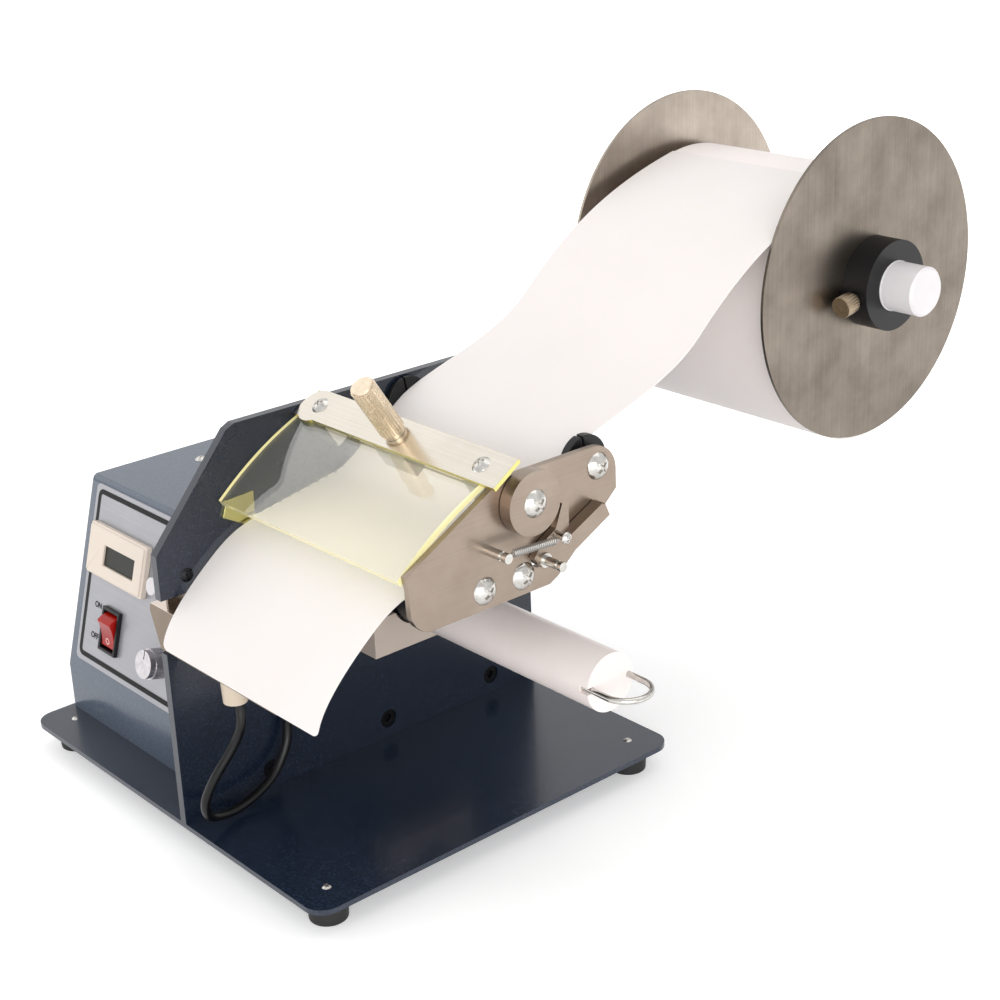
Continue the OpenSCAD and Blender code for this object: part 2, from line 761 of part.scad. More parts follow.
// Side plate and its screws
side_nose = [[34, 144], [35, 138], [35.5, 127], [37.5, 123], [40.5, 120.2], [44, 118.8]];
side_heel = [[106, 118.8], [110.5, 121]];
side_rear_y = 143.5;
side_rear_z = 149.5;
side_brow_y = 83;
side_top_z = 170.3;
side_top_r = 12.3;
side_screw_ys = [72, 92];
side_screw_z = 126.7;
side_screw_places = [[side_screw_ys[0], side_screw_z], [side_screw_ys[1], side_screw_z], [rod_y, rod_z]];
side_screw_r = 3;
rod_screw_r = side_screw_r;
flush_y = 86;
flush_z = 164;
flush_r = 1.5;
post_y = 74.5;
post_z = 143;
spring_post_r = 2;
spring_post_l = 12;
neck_share = 0.7;
spring_out = 8.5;
side_head_share = 0.55;

module side_plate() color("lightsteelblue") framed() {
    difference() {
        slab(side_x, side_t) difference() {
            union() {
                polygon(concat(side_nose, side_heel, [[side_rear_y, side_rear_z],
                    [side_rear_y, side_top_z - side_top_r], [side_rear_y - side_top_r, side_top_z],
                    [side_brow_y, side_top_z]]));
                translate([side_rear_y - side_top_r, side_top_z - side_top_r]) circle(side_top_r);
            }
            for (p = side_screw_places) translate(p) circle(side_screw_r + fit_gap);
            translate([pivot_y, pivot_z]) circle(pivot_r + fit_gap);
            translate([post_y, post_z]) circle(spring_post_r * neck_share + fit_gap);
            translate([flush_y, flush_z]) circle(flush_r + fit_gap);
            axle_slot();
        }
        bar(side_out - flush_r, flush_y, flush_z, 2 * flush_r + fit_gap, side_t);
    }
}

module side_plate_screws() color("silver") framed() {
    for (p = side_screw_places) translate([side_out, p.x, p.y]) rotate([0, 90, 0])
        screw(side_head_r, side_head_r * side_head_share, side_screw_r, side_t + side_screw_l);
}
side_screw_l = 6;

// A turned post with a groove for the spring's hook
spring_x = side_out + spring_out;
groove_w = 1.4;
module spring_post() color("silver") framed() {
    difference() {
        union() {
            bar(side_out, post_y, post_z, spring_post_r, spring_post_l);
            bar(side_x, post_y, post_z, spring_post_r * neck_share, side_t + over);
        }
        translate([spring_x - groove_w / 2, post_y, post_z]) rotate([0, 90, 0]) difference() {
            cylinder(r = spring_post_r + over, h = groove_w);
            translate([0, 0, -over]) cylinder(r = spring_post_r * neck_share, h = groove_w + 2 * over);
        }
    }
}

// Bed: a polished plate under the web, with a flange down at each end
bed_tilt = 10.2;
bed_y = 43;
bed_l = 48;
bed_t = 1.5;
bed_web_y = 50;
bed_web_z = 131.2;
flange_y = 58;
bed_flange_d = 40;
bed_flange_z = 117;
ear_t = 1.2;
ear_tips = [[33, 134.5], [35, 140.5]];
ear_rise = 10;

function bed_line(y) = bed_web_z + (y - bed_web_y) * tan(bed_tilt);

module bed_plate() color("lightgray") framed() {
    top = -web_t / 2 - run_gap;
    y1 = bed_y + bed_l;
    difference() {
        union() {
            slab(plate_in, throat_w) polygon([[bed_y, bed_line(bed_y) + top], [y1, bed_line(y1) + top],
                [y1, bed_line(y1) + top - bed_t], [bed_y, bed_line(bed_y) + top - bed_t]]);
            for (x = [plate_in, side_x - bed_t]) slab(x, bed_t) polygon([[flange_y, bed_flange_z],
                [flange_y + bed_flange_d, bed_flange_z], [flange_y + bed_flange_d, bed_line(y1) + top - bed_t],
                [y1, bed_line(y1) + top - bed_t / 2], [flange_y, bed_line(flange_y) + top - bed_t / 2]]);
            slab(plate_in, ear_t) polygon([ear_tips[0], ear_tips[1], [bed_web_y, bed_line(bed_web_y) + ear_rise],
                [bed_web_y, bed_line(bed_web_y) + top - bed_t / 2], [bed_y, bed_line(bed_y) + top - bed_t / 2]]);
        }
        bar(plate_in - over, drive_y, drive_z, bush_r * bush_bore_share, 3 * over + bed_t);
        bar(side_x - bed_t - over, drive_y, drive_z, drive_shaft_r + run_gap, bed_t + 2 * over);
        for (i = [0, 1]) bar(side_x - bed_t - over, side_screw_places[i].x, side_screw_places[i].y,
            side_screw_r + fit_gap, bed_t + 2 * over);
        slab(plate_in - over, throat_w + 2 * over) axle_slot();
    }
}

// Bushes in the main plate for both shafts, and the driven shaft's block by the side plate
bush_l = 6;
block_l = 6.5;
bearing_h = 15;
module shaft_bearings() color("goldenrod") framed() {
    for (p = [[drive_y, drive_z, drive_shaft_r], [take_up_y, take_up_z, take_up_shaft_r]]) difference() {
        union() {
            bar(plate_x, p.x, p.y, bush_r, plate_t);
            bar(plate_x - bush_l / 2, p.x, p.y, bush_r + rim_h, bush_l / 2);
        }
        bar(plate_x - bush_l, p.x, p.y, p.z + fit_gap, 3 * bush_l);
    }
    difference() {
        translate([side_x - bed_t - block_l, side_screw_places[0].x - side_screw_r * 2, bed_flange_z])
            cube([block_l, side_screw_places[1].x - side_screw_places[0].x + side_screw_r * 4, bearing_h]);
        bar(side_x - bed_t - 2 * block_l, drive_y, drive_z, drive_shaft_r + fit_gap, 3 * block_l);
        for (i = [0, 1]) bar(side_x - bed_t - 2 * block_l, side_screw_places[i].x, side_screw_places[i].y,
            side_screw_r + fit_gap, 3 * block_l);
        slab(side_x - bed_t - 2 * block_l, 3 * block_l) axle_slot();
    }
}

module drive_shaft() color("silver") framed() {
    x0 = high_belt_x - 2 * rim_t;
    bar(x0, drive_y, drive_z, drive_shaft_r, side_x - run_gap - x0);
    pulley(high_belt_x, drive_y, drive_z, drive_pulley_r);
}

roller_side_gap = 1.9;
roller_x = plate_in + bed_t + roller_side_gap;
roller_l = 105;
module drive_roller() color("black") framed() {
    difference() {
        bar(roller_x, drive_y, drive_z, drive_r, roller_l);
        bar(roller_x - over, drive_y, drive_z, drive_shaft_r + fit_gap, roller_l + 2 * over);
    }
}

module pinch_roller() color("dimgray") framed() {
    difference() {
        bar(roller_x, pinch_y, pinch_z, pinch_r, roller_l);
        bar(roller_x - over, pinch_y, pinch_z, pinch_axle_r + fit_gap, roller_l + 2 * over);
    }
}

// Pressure lever: a sheet with a finger tab, under a round disc
lever_x = side_out + run_gap;
lever_top_x = lever_x + lever_t;
spring_screw_y = 107;
spring_screw_z = 141;
spring_screw_r = 1.5;
tab_tilt = 25.3;
tab_l = 20;
tab_lip = 2.4;
tab_y = 113;
tab_z = 137.5;
tab_out = 5.7;
lever_flat = 0.6;
lever_pts = [[103, 167], [109.5, 160], [114, 152.5], [114, 141], [134, 146.3], [136.5, 140.6],
    [117, 131], [111, 126], [105, 125.5], [99, 129.2], [95, 134], [99, 139], [107, 143.5], [110.6, 153], [106, 156]];
module pressure_lever() color("silver") framed() {
    difference() {
        union() {
            slab(lever_x, lever_t) {
                translate([pivot_y, pivot_z]) circle(lever_head_r);
                polygon(lever_pts);
            }
            slab(lever_top_x, lever_t) intersection() {
                translate([pivot_y, pivot_z]) circle(lever_head_r);
                translate([pivot_y - lever_head_r, pivot_z - lever_head_r])
                    square([2 * lever_head_r - lever_flat, 2 * lever_head_r]);
            }
            translate([lever_x, tab_y, tab_z]) rotate([tab_tilt, 0, 0]) cube([tab_out, tab_l, tab_lip]);
        }
        bar(lever_x - over, pivot_y, pivot_z, pivot_r + fit_gap, 3 * lever_t);
        bar(lever_x - over, pinch_y, pinch_z, pinch_axle_r + fit_gap, 3 * lever_t);
        bar(lever_x - over, spring_screw_y, spring_screw_z, spring_screw_r + fit_gap, 3 * lever_t);
    }
}

// Cross shaft, left arm and axle of the pinch roller
arm_gap = 1;
arm_t = 3.4;
arm_x = plate_x - arm_t - arm_gap;
arm_r = 6;
stud_r = 2;
stud_l = 14;
stud_groove_share = 0.78;
lever_head_share = 0.5;
spring_head_share = 1.7;
module lever_shaft() color("silver") framed() {
    bar(arm_x, pivot_y, pivot_z, pivot_r, lever_top_x + lever_t - arm_x - fit_gap);
    bar(arm_x, pinch_y, pinch_z, pinch_axle_r, lever_top_x - arm_x + over);
    slab(arm_x, arm_t) {
        belt_loop([pivot_y, pivot_z, arm_r], [pinch_y, pinch_z, arm_r]);
    }
    difference() {
        bar(side_out + over, pinch_y, pinch_z, stud_r, stud_l - over);
        translate([side_out + stud_l * stud_groove_share, pinch_y, pinch_z]) rotate([0, 90, 0]) difference() {
            cylinder(r = stud_r + over, h = over);
            translate([0, 0, -over]) cylinder(r = stud_r * neck_share, h = 3 * over);
        }
    }
}

module lever_screws() color("silver") framed() {
    translate([lever_top_x + lever_t, pivot_y, pivot_z]) rotate([0, 90, 0])
        screw(side_head_r, side_head_r * lever_head_share, pivot_r / 2, 0);
    translate([spring_x + groove_w / 2 + run_gap / 3, spring_screw_y, spring_screw_z]) rotate([0, 90, 0])
        screw(spring_screw_r * spring_head_share, spring_screw_r, spring_screw_r,
            spring_x + groove_w / 2 + run_gap / 3 - lever_x);
}

// Lever's spring: one round wire wound between the post's groove and the small screw's neck
spring_y0 = post_y + spring_post_r * neck_share + fit_gap;
spring_y1 = spring_screw_y - spring_screw_r - fit_gap;
spring_lean = atan2(spring_screw_z - post_z, spring_screw_y - post_y);
spring_len = (spring_y1 - spring_y0) / cos(spring_lean);
spring_tail = 3;
spring_coil_l = spring_len - 2 * spring_tail;
spring_pitch = spring_coil_l / spring_curls;
spring_line_r = spring_r - spring_wire / 2;
spring_rings = 8;
function ramp(t) = min(1, max(0, t));
// A point of the wire's centre line: along its own axis, and out from it
function wire_point(i) = let (turn = i / spring_rings, s = spring_tail + turn * spring_pitch,
    grow = ramp(turn) * ramp(spring_curls - turn), a = 360 * turn)
    [spring_line_r * grow * cos(a), s, spring_line_r * grow * sin(a)];
wire_path = concat([[0, 0, 0], [0, spring_wire, 0]],
    [for (i = [1:spring_rings * spring_curls - 1]) wire_point(i)],
    [[0, spring_len - spring_wire, 0], [0, spring_len, 0]]);

// Sweeps a ring of the given number of sides along a path as one closed solid
module tube(path, r, sides) {
    n = len(path);
    ways = [for (i = [0:n - 1]) let (d = path[min(n - 1, i + 1)] - path[max(0, i - 1)]) d / norm(d)];
    start = abs(ways[0].z) < 0.9 ? cross(ways[0], [0, 0, 1]) : cross(ways[0], [1, 0, 0]);
    function carried(i, u) = let (w = u - (u * ways[i]) * ways[i]) w / norm(w);
    function frames(i, u) = i == n ? [] : let (v = carried(i, u)) concat([v], frames(i + 1, v));
    us = frames(0, start);
    points = [for (i = [0:n - 1]) let (u = us[i], v = cross(ways[i], u))
        for (k = [0:sides - 1]) path[i] + r * (cos(360 * k / sides) * u + sin(360 * k / sides) * v)];
    walls = [for (i = [0:n - 2], k = [0:sides - 1]) let (a = i * sides + k, b = i * sides + (k + 1) % sides)
        each [[a, b, a + sides], [b, b + sides, a + sides]]];
    caps = [for (k = [1:sides - 2]) each [[0, k + 1, k],
        [(n - 1) * sides, (n - 1) * sides + k, (n - 1) * sides + k + 1]]];
    polyhedron(points, concat(walls, caps));
}

// Least gap of the wire to itself, measured on points at least three quarters of a curl apart
function least_gap(path, apart) = min([for (i = [0:len(path) - 1 - apart])
    min([for (j = [i + apart:min(len(path) - 1, i + 3 * apart)]) norm(path[i] - path[j])])]) - spring_wire;
echo(spring_least_gap = least_gap(wire_path, 6));

module lever_spring() color("silver") framed() {
    translate([spring_x, spring_y0, post_z + (spring_y0 - post_y) * tan(spring_lean)])
        rotate([spring_lean, 0, 0]) tube(wire_path, spring_wire / 2, 6);
}

// Guide rod and its two split collars
collar_guide_r = 11.3;
collar_left_w = 2.3;
collar_right_w = 4;
split_turn = 10;
module guide_rod() color("silver") framed() {
    bore_l = side_screw_l + run_gap;
    difference() {
        bar(plate_in, rod_y, rod_z, rod_r, throat_w);
        for (x = [plate_in - over, side_x - bore_l]) bar(x, rod_y, rod_z, rod_screw_r + fit_gap, bore_l + over);
    }
}

module guide_collar(x, w) {
    split_w = 0.8;
    difference() {
        bar(x, rod_y, rod_z, collar_guide_r, w);
        bar(x - over, rod_y, rod_z, rod_r + fit_gap, w + 2 * over);
        translate([x - over, rod_y, rod_z]) rotate([split_turn, 0, 0]) translate([0, -split_w / 2, 0])
            cube([w + 2 * over, split_w, collar_guide_r + over]);
    }
}

web_side_gap = 3;
web_x = plate_in + web_side_gap;
web_end_x = web_x + paper_w;
module guide_collar_left() color("black") framed() guide_collar(plate_in + run_gap, collar_left_w);
module guide_collar_right() color("black") framed() guide_collar(web_end_x + 3 * run_gap, collar_right_w);

// Clear cover on its slope: s runs up the slope and h out of it
cover_y = 33.8;
cover_z = 139.9;
cover_x = plate_in + run_gap;
cover_tail_l = cover_l + cross_w;
cover_screw_r = 2;
cover_screw_s = cover_l + cross_w / 2;
cover_screw_insets = [11.6, 4.8];
cover_screw_xs = [plate_in + cover_screw_insets[0], side_x - cover_screw_insets[1]];
cover_screw_reach_share = 0.7;
clamp_x = 200;
clamp_stud_r = 2.4;
cross_out = 9.7;
block_h = 12;
block_w = 20;
end_block_share = 0.6;
cross_corner_share = 0.55;

module on_slope(x, s, h) {
    translate([x, cover_y, cover_z]) rotate([cover_tilt, 0, 0]) translate([0, s, h]) children();
}

// Holes down through the cover's tail, the cross plate and the blocks
module slope_holes() {
    for (x = cover_screw_xs) on_slope(x, cover_screw_s, -block_h)
        cylinder(r = cover_screw_r + fit_gap, h = 2 * block_h);
    on_slope(clamp_x, cover_screw_s, -2 * block_h) cylinder(r = clamp_stud_r + run_gap / 2, h = 4 * block_h);
}

arch_steps = 14;
spans = [for (i = [0:arch_steps])
    [cover_l * i / arch_steps, 4 * cover_arch * i * (arch_steps - i) / (arch_steps * arch_steps)]];
module cover() color([0.85, 0.9, 0.45, 0.5]) framed() {
    difference() {
        on_slope(cover_x, 0, 0) rotate([90, 0, 90]) linear_extrude(throat_w - 2 * run_gap)
            polygon(concat(spans, [[cover_tail_l, 0], [cover_tail_l, cover_t]],
                [for (i = [arch_steps:-1:0]) spans[i] + [0, cover_t]]));
        slope_holes();
    }
}

module cover_blocks() color("silver") framed() {
    difference() {
        for (span = [[plate_in, block_w], [clamp_x - block_w / 2, block_w],
            [side_x - block_w * end_block_share, block_w * end_block_share]])
            on_slope(span[0], cover_l + run_gap, -block_h) cube([span[1], cross_w - 2 * run_gap, block_h]);
        slope_holes();
        bar(plate_in - over, flush_y, flush_z, flush_r + fit_gap, block_w / 2);
        bar(side_x - block_w / 2, flush_y, flush_z, flush_r + fit_gap, block_w);
    }
}

module cross_plate() color("gainsboro") framed() {
    l = throat_w - run_gap + cross_out;
    r = cross_w * cross_corner_share;
    difference() {
        on_slope(cover_x, cover_l, cover_t) linear_extrude(cross_t) {
            square([l, cross_w - r]);
            translate([r, 0]) square([l - r, cross_w]);
            translate([r, cross_w - r]) circle(r);
        }
        slope_holes();
    }
}

clamp_neck_share = 0.86;
clamp_tip_share = 0.9;
flute_place_share = 1.02;
flute_share = 0.07;
module clamp_knob() color("tan") framed() {
    flutes = 24;
    ring_h = 2.4;
    on_slope(clamp_x, cover_screw_s, cover_t + cross_t + run_gap / 3) {
        translate([0, 0, -cover_t - cross_t - block_h])
            cylinder(r = clamp_stud_r, h = cover_t + cross_t + block_h + over);
        cylinder(r = clamp_r * clamp_neck_share, h = ring_h);
        translate([0, 0, ring_h]) difference() {
            union() {
                cylinder(r = clamp_r, h = clamp_h - ring_h - over);
                cylinder(r = clamp_r * clamp_tip_share, h = clamp_h - ring_h);
            }
            for (i = [1:flutes]) rotate([0, 0, 360 * i / flutes]) translate([clamp_r * flute_place_share, 0, -over])
                cylinder(r = clamp_r * flute_share, h = clamp_h, $fn = 16);
        }
    }
}

// Steel screws of the frame: feet, cover, box lid, reel arm, guide rod and cover blocks
module frame_screws() color("silver") framed() {
    for (p = foot_places) translate([p.x, p.y, 0])
        screw(foot_screw_head_r, foot_screw_head_r / 2, foot_screw_r, base_t + foot_h / 2);
    for (x = cover_screw_xs) on_slope(x, cover_screw_s, cover_t + cross_t)
        screw(2 * cover_screw_r, cover_screw_r, cover_screw_r, cover_t + cross_t + block_h * cover_screw_reach_share);
    translate([lid_screw_x, lid_screw_y, box_h]) screw(2 * lid_screw_r, lid_screw_r, lid_screw_r, 3 * box_wall);
    for (p = arm_screw_places) translate([reel_arm_x, p.x, p.y]) rotate([0, -90, 0])
        screw(2 * arm_screw_r, arm_screw_r, arm_screw_r, plate_in - reel_arm_x);
    translate([plate_x, rod_y, rod_z]) rotate([0, -90, 0])
        screw(2 * rod_screw_r, rod_screw_r, rod_screw_r, plate_t + side_screw_l);
    translate([plate_x, flush_y, flush_z]) rotate([0, -90, 0])
        screw(2 * flush_r, flush_r, flush_r, plate_t + block_w / 3);
    bar(side_out - flush_r, flush_y, flush_z, 2 * flush_r, flush_r);
    bar(side_x - block_w / 3, flush_y, flush_z, flush_r, block_w / 3 + side_t - flush_r / 2);
}

// Sensor bracket: an angle that runs under the hanging web and through the main plate's notch
bracket_x = 121;
bracket_y = 1;
bracket_lean = 3;
bracket_z = 82.5;
bracket_h = 17;
bracket_shelf = 13;
bracket_slant_w = 10.5;
sensor_x = 164.5;
sensor_y = 14.6;
sensor_body_w = 12;
sensor_body_h = 12;
sensor_nose_h = 21;
nose_shares = [0.65, 0.78, 0.72];
nose_step_share = 0.4;
module sensor_bracket() color("lightgray") framed() {
    top = bracket_z + bracket_h;
    back = bracket_y + bracket_lean;
    difference() {
        union() {
            slab(bracket_x, bracket_l) polygon([[bracket_y, bracket_z], [back, top], [back + bracket_shelf, top],
                [back + bracket_shelf, top - bracket_t], [back + bracket_t, top - bracket_t],
                [bracket_y + bracket_t, bracket_z]]);
            translate([sensor_x - sensor_body_w / 2, back, top - bracket_t])
                cube([sensor_body_w, sensor_y + sensor_r - back, bracket_t]);
            translate([plate_x - bracket_t, back + bracket_t, top - bracket_t])
                cube([bracket_t, bracket_shelf, fixing_z + 4 * fixing_r - top]);
        }
        bar(plate_x - 2 * bracket_t, fixing_y, fixing_z, fixing_r + fit_gap, 3 * bracket_t);
        translate([bracket_x, back + 2 * bracket_t, bracket_z]) rotate([90, 0, 0])
            linear_extrude(bracket_lean + 3 * bracket_t)
                polygon([[-over, -over], [bracket_slant_w, -over], [bracket_slant_w, 0],
                    [0, bracket_h - 2 * bracket_t], [-over, bracket_h - 2 * bracket_t]]);
    }
}

module label_sensor() color("wheat") framed() {
    z = bracket_z + bracket_h - bracket_t - sensor_body_h;
    translate([sensor_x - sensor_body_w / 2, sensor_y - sensor_r, z])
        cube([sensor_body_w, 2 * sensor_r, sensor_body_h]);
    translate([sensor_x, sensor_y, z - sensor_nose_h])
        cylinder(r1 = sensor_r * nose_shares[0], r2 = sensor_r * nose_shares[1], h = sensor_nose_h + over);
    translate([sensor_x, sensor_y, z - sensor_nose_h * nose_step_share])
        cylinder(r1 = sensor_r * nose_shares[2], r2 = sensor_r, h = sensor_nose_h * nose_step_share);
}

// Lead of the sensor: its route by hand, smoothed between the points
lead_route = [[165, 16, 65], [165, 16, 62], [166, 15, 54], [164, 12, 45], [160, 3, 30], [156, 0, 18],
    [152, 5, 8], [148, 21, 4], [145, 40, 9], [143, 51, 21], [142, 54, 34], [144, 53, 44], [143, 50, 51],
    [139.6, 50, 51]];
lead_steps = 3;
function smooth(a, b, c, d, t) = 0.5 * (2 * b + (c - a) * t + (2 * a - 5 * b + 4 * c - d) * t * t
    + (3 * b - 3 * c + d - a) * t * t * t);
function smoothed(p) = concat([for (i = [0:len(p) - 2], k = [0:lead_steps - 1])
    smooth(p[max(0, i - 1)], p[i], p[i + 1], p[min(len(p) - 1, i + 2)], k / lead_steps)], [p[len(p) - 1]]);

module sensor_cable() color("black") framed() tube(smoothed(lead_route), lead_d / 2, 8);

module cable_grommet() color("black") framed() {
    bar(plate_in, grommet_y, grommet_z, grommet_r, grommet_lip);
    bar(plate_x, grommet_y, grommet_z, grommet_r * grommet_neck_share, plate_t + over);
    bar(plate_x - grommet_lip, grommet_y, grommet_z, grommet_r, grommet_lip);
}

// Reel: arm, spindle, shaft, flanges, collar and roll of labels
reel_arm_t = 5;
reel_arm_gap = 3;
reel_arm_x = plate_x - reel_arm_t - reel_arm_gap;
reel_hub_r = 17;
spindle_r = 6;
spindle_short = 18;
spindle_tail_share = 2.4;
spindle_step_share = 1.5;
shaft_bevel = 1.2;
shaft_end_l = 16.8;
shaft_end_ease = 0.3;
reel_shift = 0.2;
reel_left_x = plate_x + reel_shift;
reel_gap = 116;
reel_right_x = reel_left_x + reel_gap;
shaft_tail = 0.8;
shaft_x = reel_left_x - flange_t - shaft_tail;
reel_arm_l = 38;
reel_arm_rear = plate_d - over;
reel_arm_front = reel_arm_rear - reel_arm_l;
reel_arm_low = 118;
reel_arm_top = 162;
reel_arm_shoulder = [5, 3.5];
reel_arm_neck_shares = [0.42, 0.9];
reel_boss_share = 0.8;
arm_boss_share = 2.4;
module reel_arm() color("dimgray") framed() {
    difference() {
        union() {
            slab(reel_arm_x, reel_arm_t) {
                polygon([[reel_arm_front, reel_arm_low], [reel_arm_front, reel_arm_top],
                    [reel_arm_rear - reel_arm_shoulder.x, reel_arm_top + reel_arm_shoulder.y],
                    [reel_y - reel_hub_r * reel_arm_neck_shares[0], reel_z + reel_hub_r * reel_arm_neck_shares[1]],
                    [reel_y + reel_hub_r * reel_arm_neck_shares[0], reel_z - reel_hub_r * reel_arm_neck_shares[1]],
                    [reel_arm_rear, reel_arm_low]]);
                translate([reel_y, reel_z]) circle(reel_hub_r);
            }
            bar(reel_arm_x - 2 * reel_arm_t, reel_y, reel_z, reel_hub_r * reel_boss_share, 2 * reel_arm_t);
            for (p = arm_screw_places) bar(reel_arm_x, p.x, p.y, arm_boss_share * arm_screw_r, plate_x - reel_arm_x);
        }
        bar(reel_arm_x - 3 * reel_arm_t, reel_y, reel_z, spindle_r + fit_gap, 5 * reel_arm_t);
        for (p = arm_screw_places) bar(reel_arm_x - over, p.x, p.y, arm_screw_r + fit_gap, plate_x);
    }
}

module reel_spindle() color("silver") framed() {
    tail = spindle_tail_share * reel_arm_t;
    bar(reel_arm_x - tail, reel_y, reel_z, spindle_r, shaft_x + shaft_l - spindle_short - reel_arm_x + tail);
    bar(reel_arm_x + reel_arm_t, reel_y, reel_z, spindle_step_share * spindle_r,
        shaft_x - run_gap - reel_arm_x - reel_arm_t);
}

// The shaft is a little slimmer at its free end, past the collar, so that cores go on easily
module reel_shaft() color("ghostwhite") framed() {
    end_r = shaft_r - shaft_end_ease;
    difference() {
        translate([shaft_x, reel_y, reel_z]) rotate([0, 90, 0]) {
            cylinder(r = shaft_r, h = shaft_l - shaft_end_l);
            cylinder(r = end_r, h = shaft_l - shaft_bevel);
            translate([0, 0, shaft_l - shaft_bevel]) cylinder(r1 = end_r, r2 = end_r - shaft_bevel, h = shaft_bevel);
        }
        bar(shaft_x - over, reel_y, reel_z, spindle_r + fit_gap, shaft_l - spindle_short + over + run_gap);
    }
}

module flange(x) {
    difference() {
        bar(x, reel_y, reel_z, flange_r, flange_t, $fn = 96);
        bar(x - over, reel_y, reel_z, shaft_r + fit_gap, flange_t + 2 * over);
    }
}

module flange_left() color("gainsboro") framed() flange(reel_left_x - flange_t);
module flange_right() color("gainsboro") framed() flange(reel_right_x);

thumb_lean = 10;
thumb_h = 9;
thumb_shank_r = 2.5;
thumb_place_share = 0.53;
thumb_neck_share = 0.7;
thumb_step_share = 0.2;
// Points along the thumb screw: out of the collar, towards the front and a little down
module on_thumb(reach) {
    translate([reel_right_x + flange_t + collar_w * thumb_place_share, reel_y, reel_z]) rotate([90 + thumb_lean, 0, 0])
        translate([0, 0, reach]) children();
}

module clamp_collar() color("black") framed() {
    difference() {
        bar(reel_right_x + flange_t, reel_y, reel_z, collar_r, collar_w);
        bar(reel_right_x, reel_y, reel_z, shaft_r + fit_gap, 2 * collar_w);
        on_thumb(0) cylinder(r = thumb_shank_r + fit_gap, h = 2 * collar_r);
    }
}

module thumb_screw() color("silver") framed() {
    flutes = 24;
    on_thumb(shaft_r + run_gap) cylinder(r = thumb_shank_r, h = collar_r - shaft_r + over);
    on_thumb(collar_r + over) difference() {
        union() {
            translate([0, 0, -over / 2]) cylinder(r = thumb_r * thumb_neck_share, h = thumb_h / 2);
            translate([0, 0, thumb_h * thumb_step_share]) cylinder(r = thumb_r, h = thumb_h * (1 - thumb_step_share));
        }
        for (i = [1:flutes]) rotate([0, 0, 360 * i / flutes]) translate([thumb_r * flute_place_share, 0, -over])
            cylinder(r = thumb_r * flute_share, h = 2 * thumb_h, $fn = 16);
    }
}

roll_z = reel_z + shaft_r + run_gap - core_r;
module ring(x, y, z, outer, inner, l) {
    difference() {
        bar(x, y, z, outer, l, $fn = 96);
        bar(x - over, y, z, inner, l + 2 * over, $fn = 96);
    }
}
module roll_core() color("peru") framed() ring(web_x, reel_y, roll_z, core_r + core_wall, core_r, paper_w);
module paper_roll() color("white") framed()
    ring(web_x, reel_y, roll_z, roll_r, core_r + core_wall + fit_gap, paper_w);

// Label web: off the top of the roll, over the guide rod, along the bed and curling down in front
web_leave = 103;
web_sag_shares = [0.43, 0.385];
web_foot_z = 87;
curl_shares = [[0.208, 0.023], [0.358, 0.138], [0.49, 0.265], [0.717, 0.477], [0.983, 0.774]];
web_lead_in_y = 93.3;
web_wrap = 27;
curve_steps = 10;
sag_slope = 42;
lead_in_slope = 20;
pull_shares = [0.44, 0.32, 0.24, 0.18, 0.12];
function curve(a, b, c, d) = [for (i = [0:curve_steps - 1]) let (t = i / curve_steps, u = 1 - t)
    u * u * u * a + 3 * u * u * t * b + 3 * u * t * t * c + t * t * t * d];
roll_point = [reel_y, roll_z] + (roll_r + run_gap + web_t / 2) * [cos(web_leave), sin(web_leave)];
rod_point = [rod_y, rod_z] + (rod_r + run_gap + web_t / 2) * [-sin(web_wrap), cos(web_wrap)];
bed_point = [web_lead_in_y, bed_line(web_lead_in_y)];
peel_point = [bed_web_y, bed_web_z];
foot_point = [web_foot_y, web_foot_z];
function curl_point(i) = [peel_point.x + (foot_point.x - peel_point.x) * curl_shares[i].x,
    peel_point.y + (foot_point.y - peel_point.y) * curl_shares[i].y];
sag_point = [rod_point.x + (roll_point.x - rod_point.x) * web_sag_shares.x,
    rod_point.y + (roll_point.y - rod_point.y) * web_sag_shares.y];
web_span = norm(roll_point - sag_point);
web_path = concat(
    curve(roll_point, roll_point + pull_shares[0] * web_span * [-sin(web_leave), cos(web_leave)],
        sag_point + pull_shares[1] * web_span * [cos(sag_slope), sin(sag_slope)], sag_point),
    curve(sag_point, sag_point - pull_shares[2] * web_span * [cos(sag_slope), sin(sag_slope)],
        rod_point + pull_shares[3] * web_span * [cos(web_wrap), sin(web_wrap)], rod_point),
    curve(rod_point, rod_point - pull_shares[4] * web_span * [cos(web_wrap), sin(web_wrap)],
        bed_point + pull_shares[4] * web_span * [cos(lead_in_slope), sin(lead_in_slope)], bed_point),
    [bed_point],
    curve(peel_point, curl_point(0), curl_point(1), curl_point(2)),
    curve(curl_point(2), curl_point(3), curl_point(4), foot_point), [foot_point]);

module label_web() color("white") framed() {
    n = len(web_path);
    corner_r = 3;
    normals = [for (i = [0:n - 1]) let (d = web_path[min(n - 1, i + 1)] - web_path[max(0, i - 1)])
        [-d.y, d.x] / norm(d)];
    difference() {
        slab(web_x, paper_w) polygon(concat(
            [for (i = [0:n - 1]) web_path[i] + normals[i] * web_t / 2],
            [for (i = [n - 1:-1:0]) web_path[i] - normals[i] * web_t / 2]));
        for (side = [0, 1]) translate([web_x + side * paper_w, web_foot_y, web_foot_z]) mirror([side, 0, 0])
            rotate([90, 0, 0]) translate([0, 0, -2 * corner_r]) linear_extrude(4 * corner_r) difference() {
                translate([-over, -over]) square(corner_r + over);
                translate([corner_r, corner_r]) circle(corner_r);
            }
    }
}

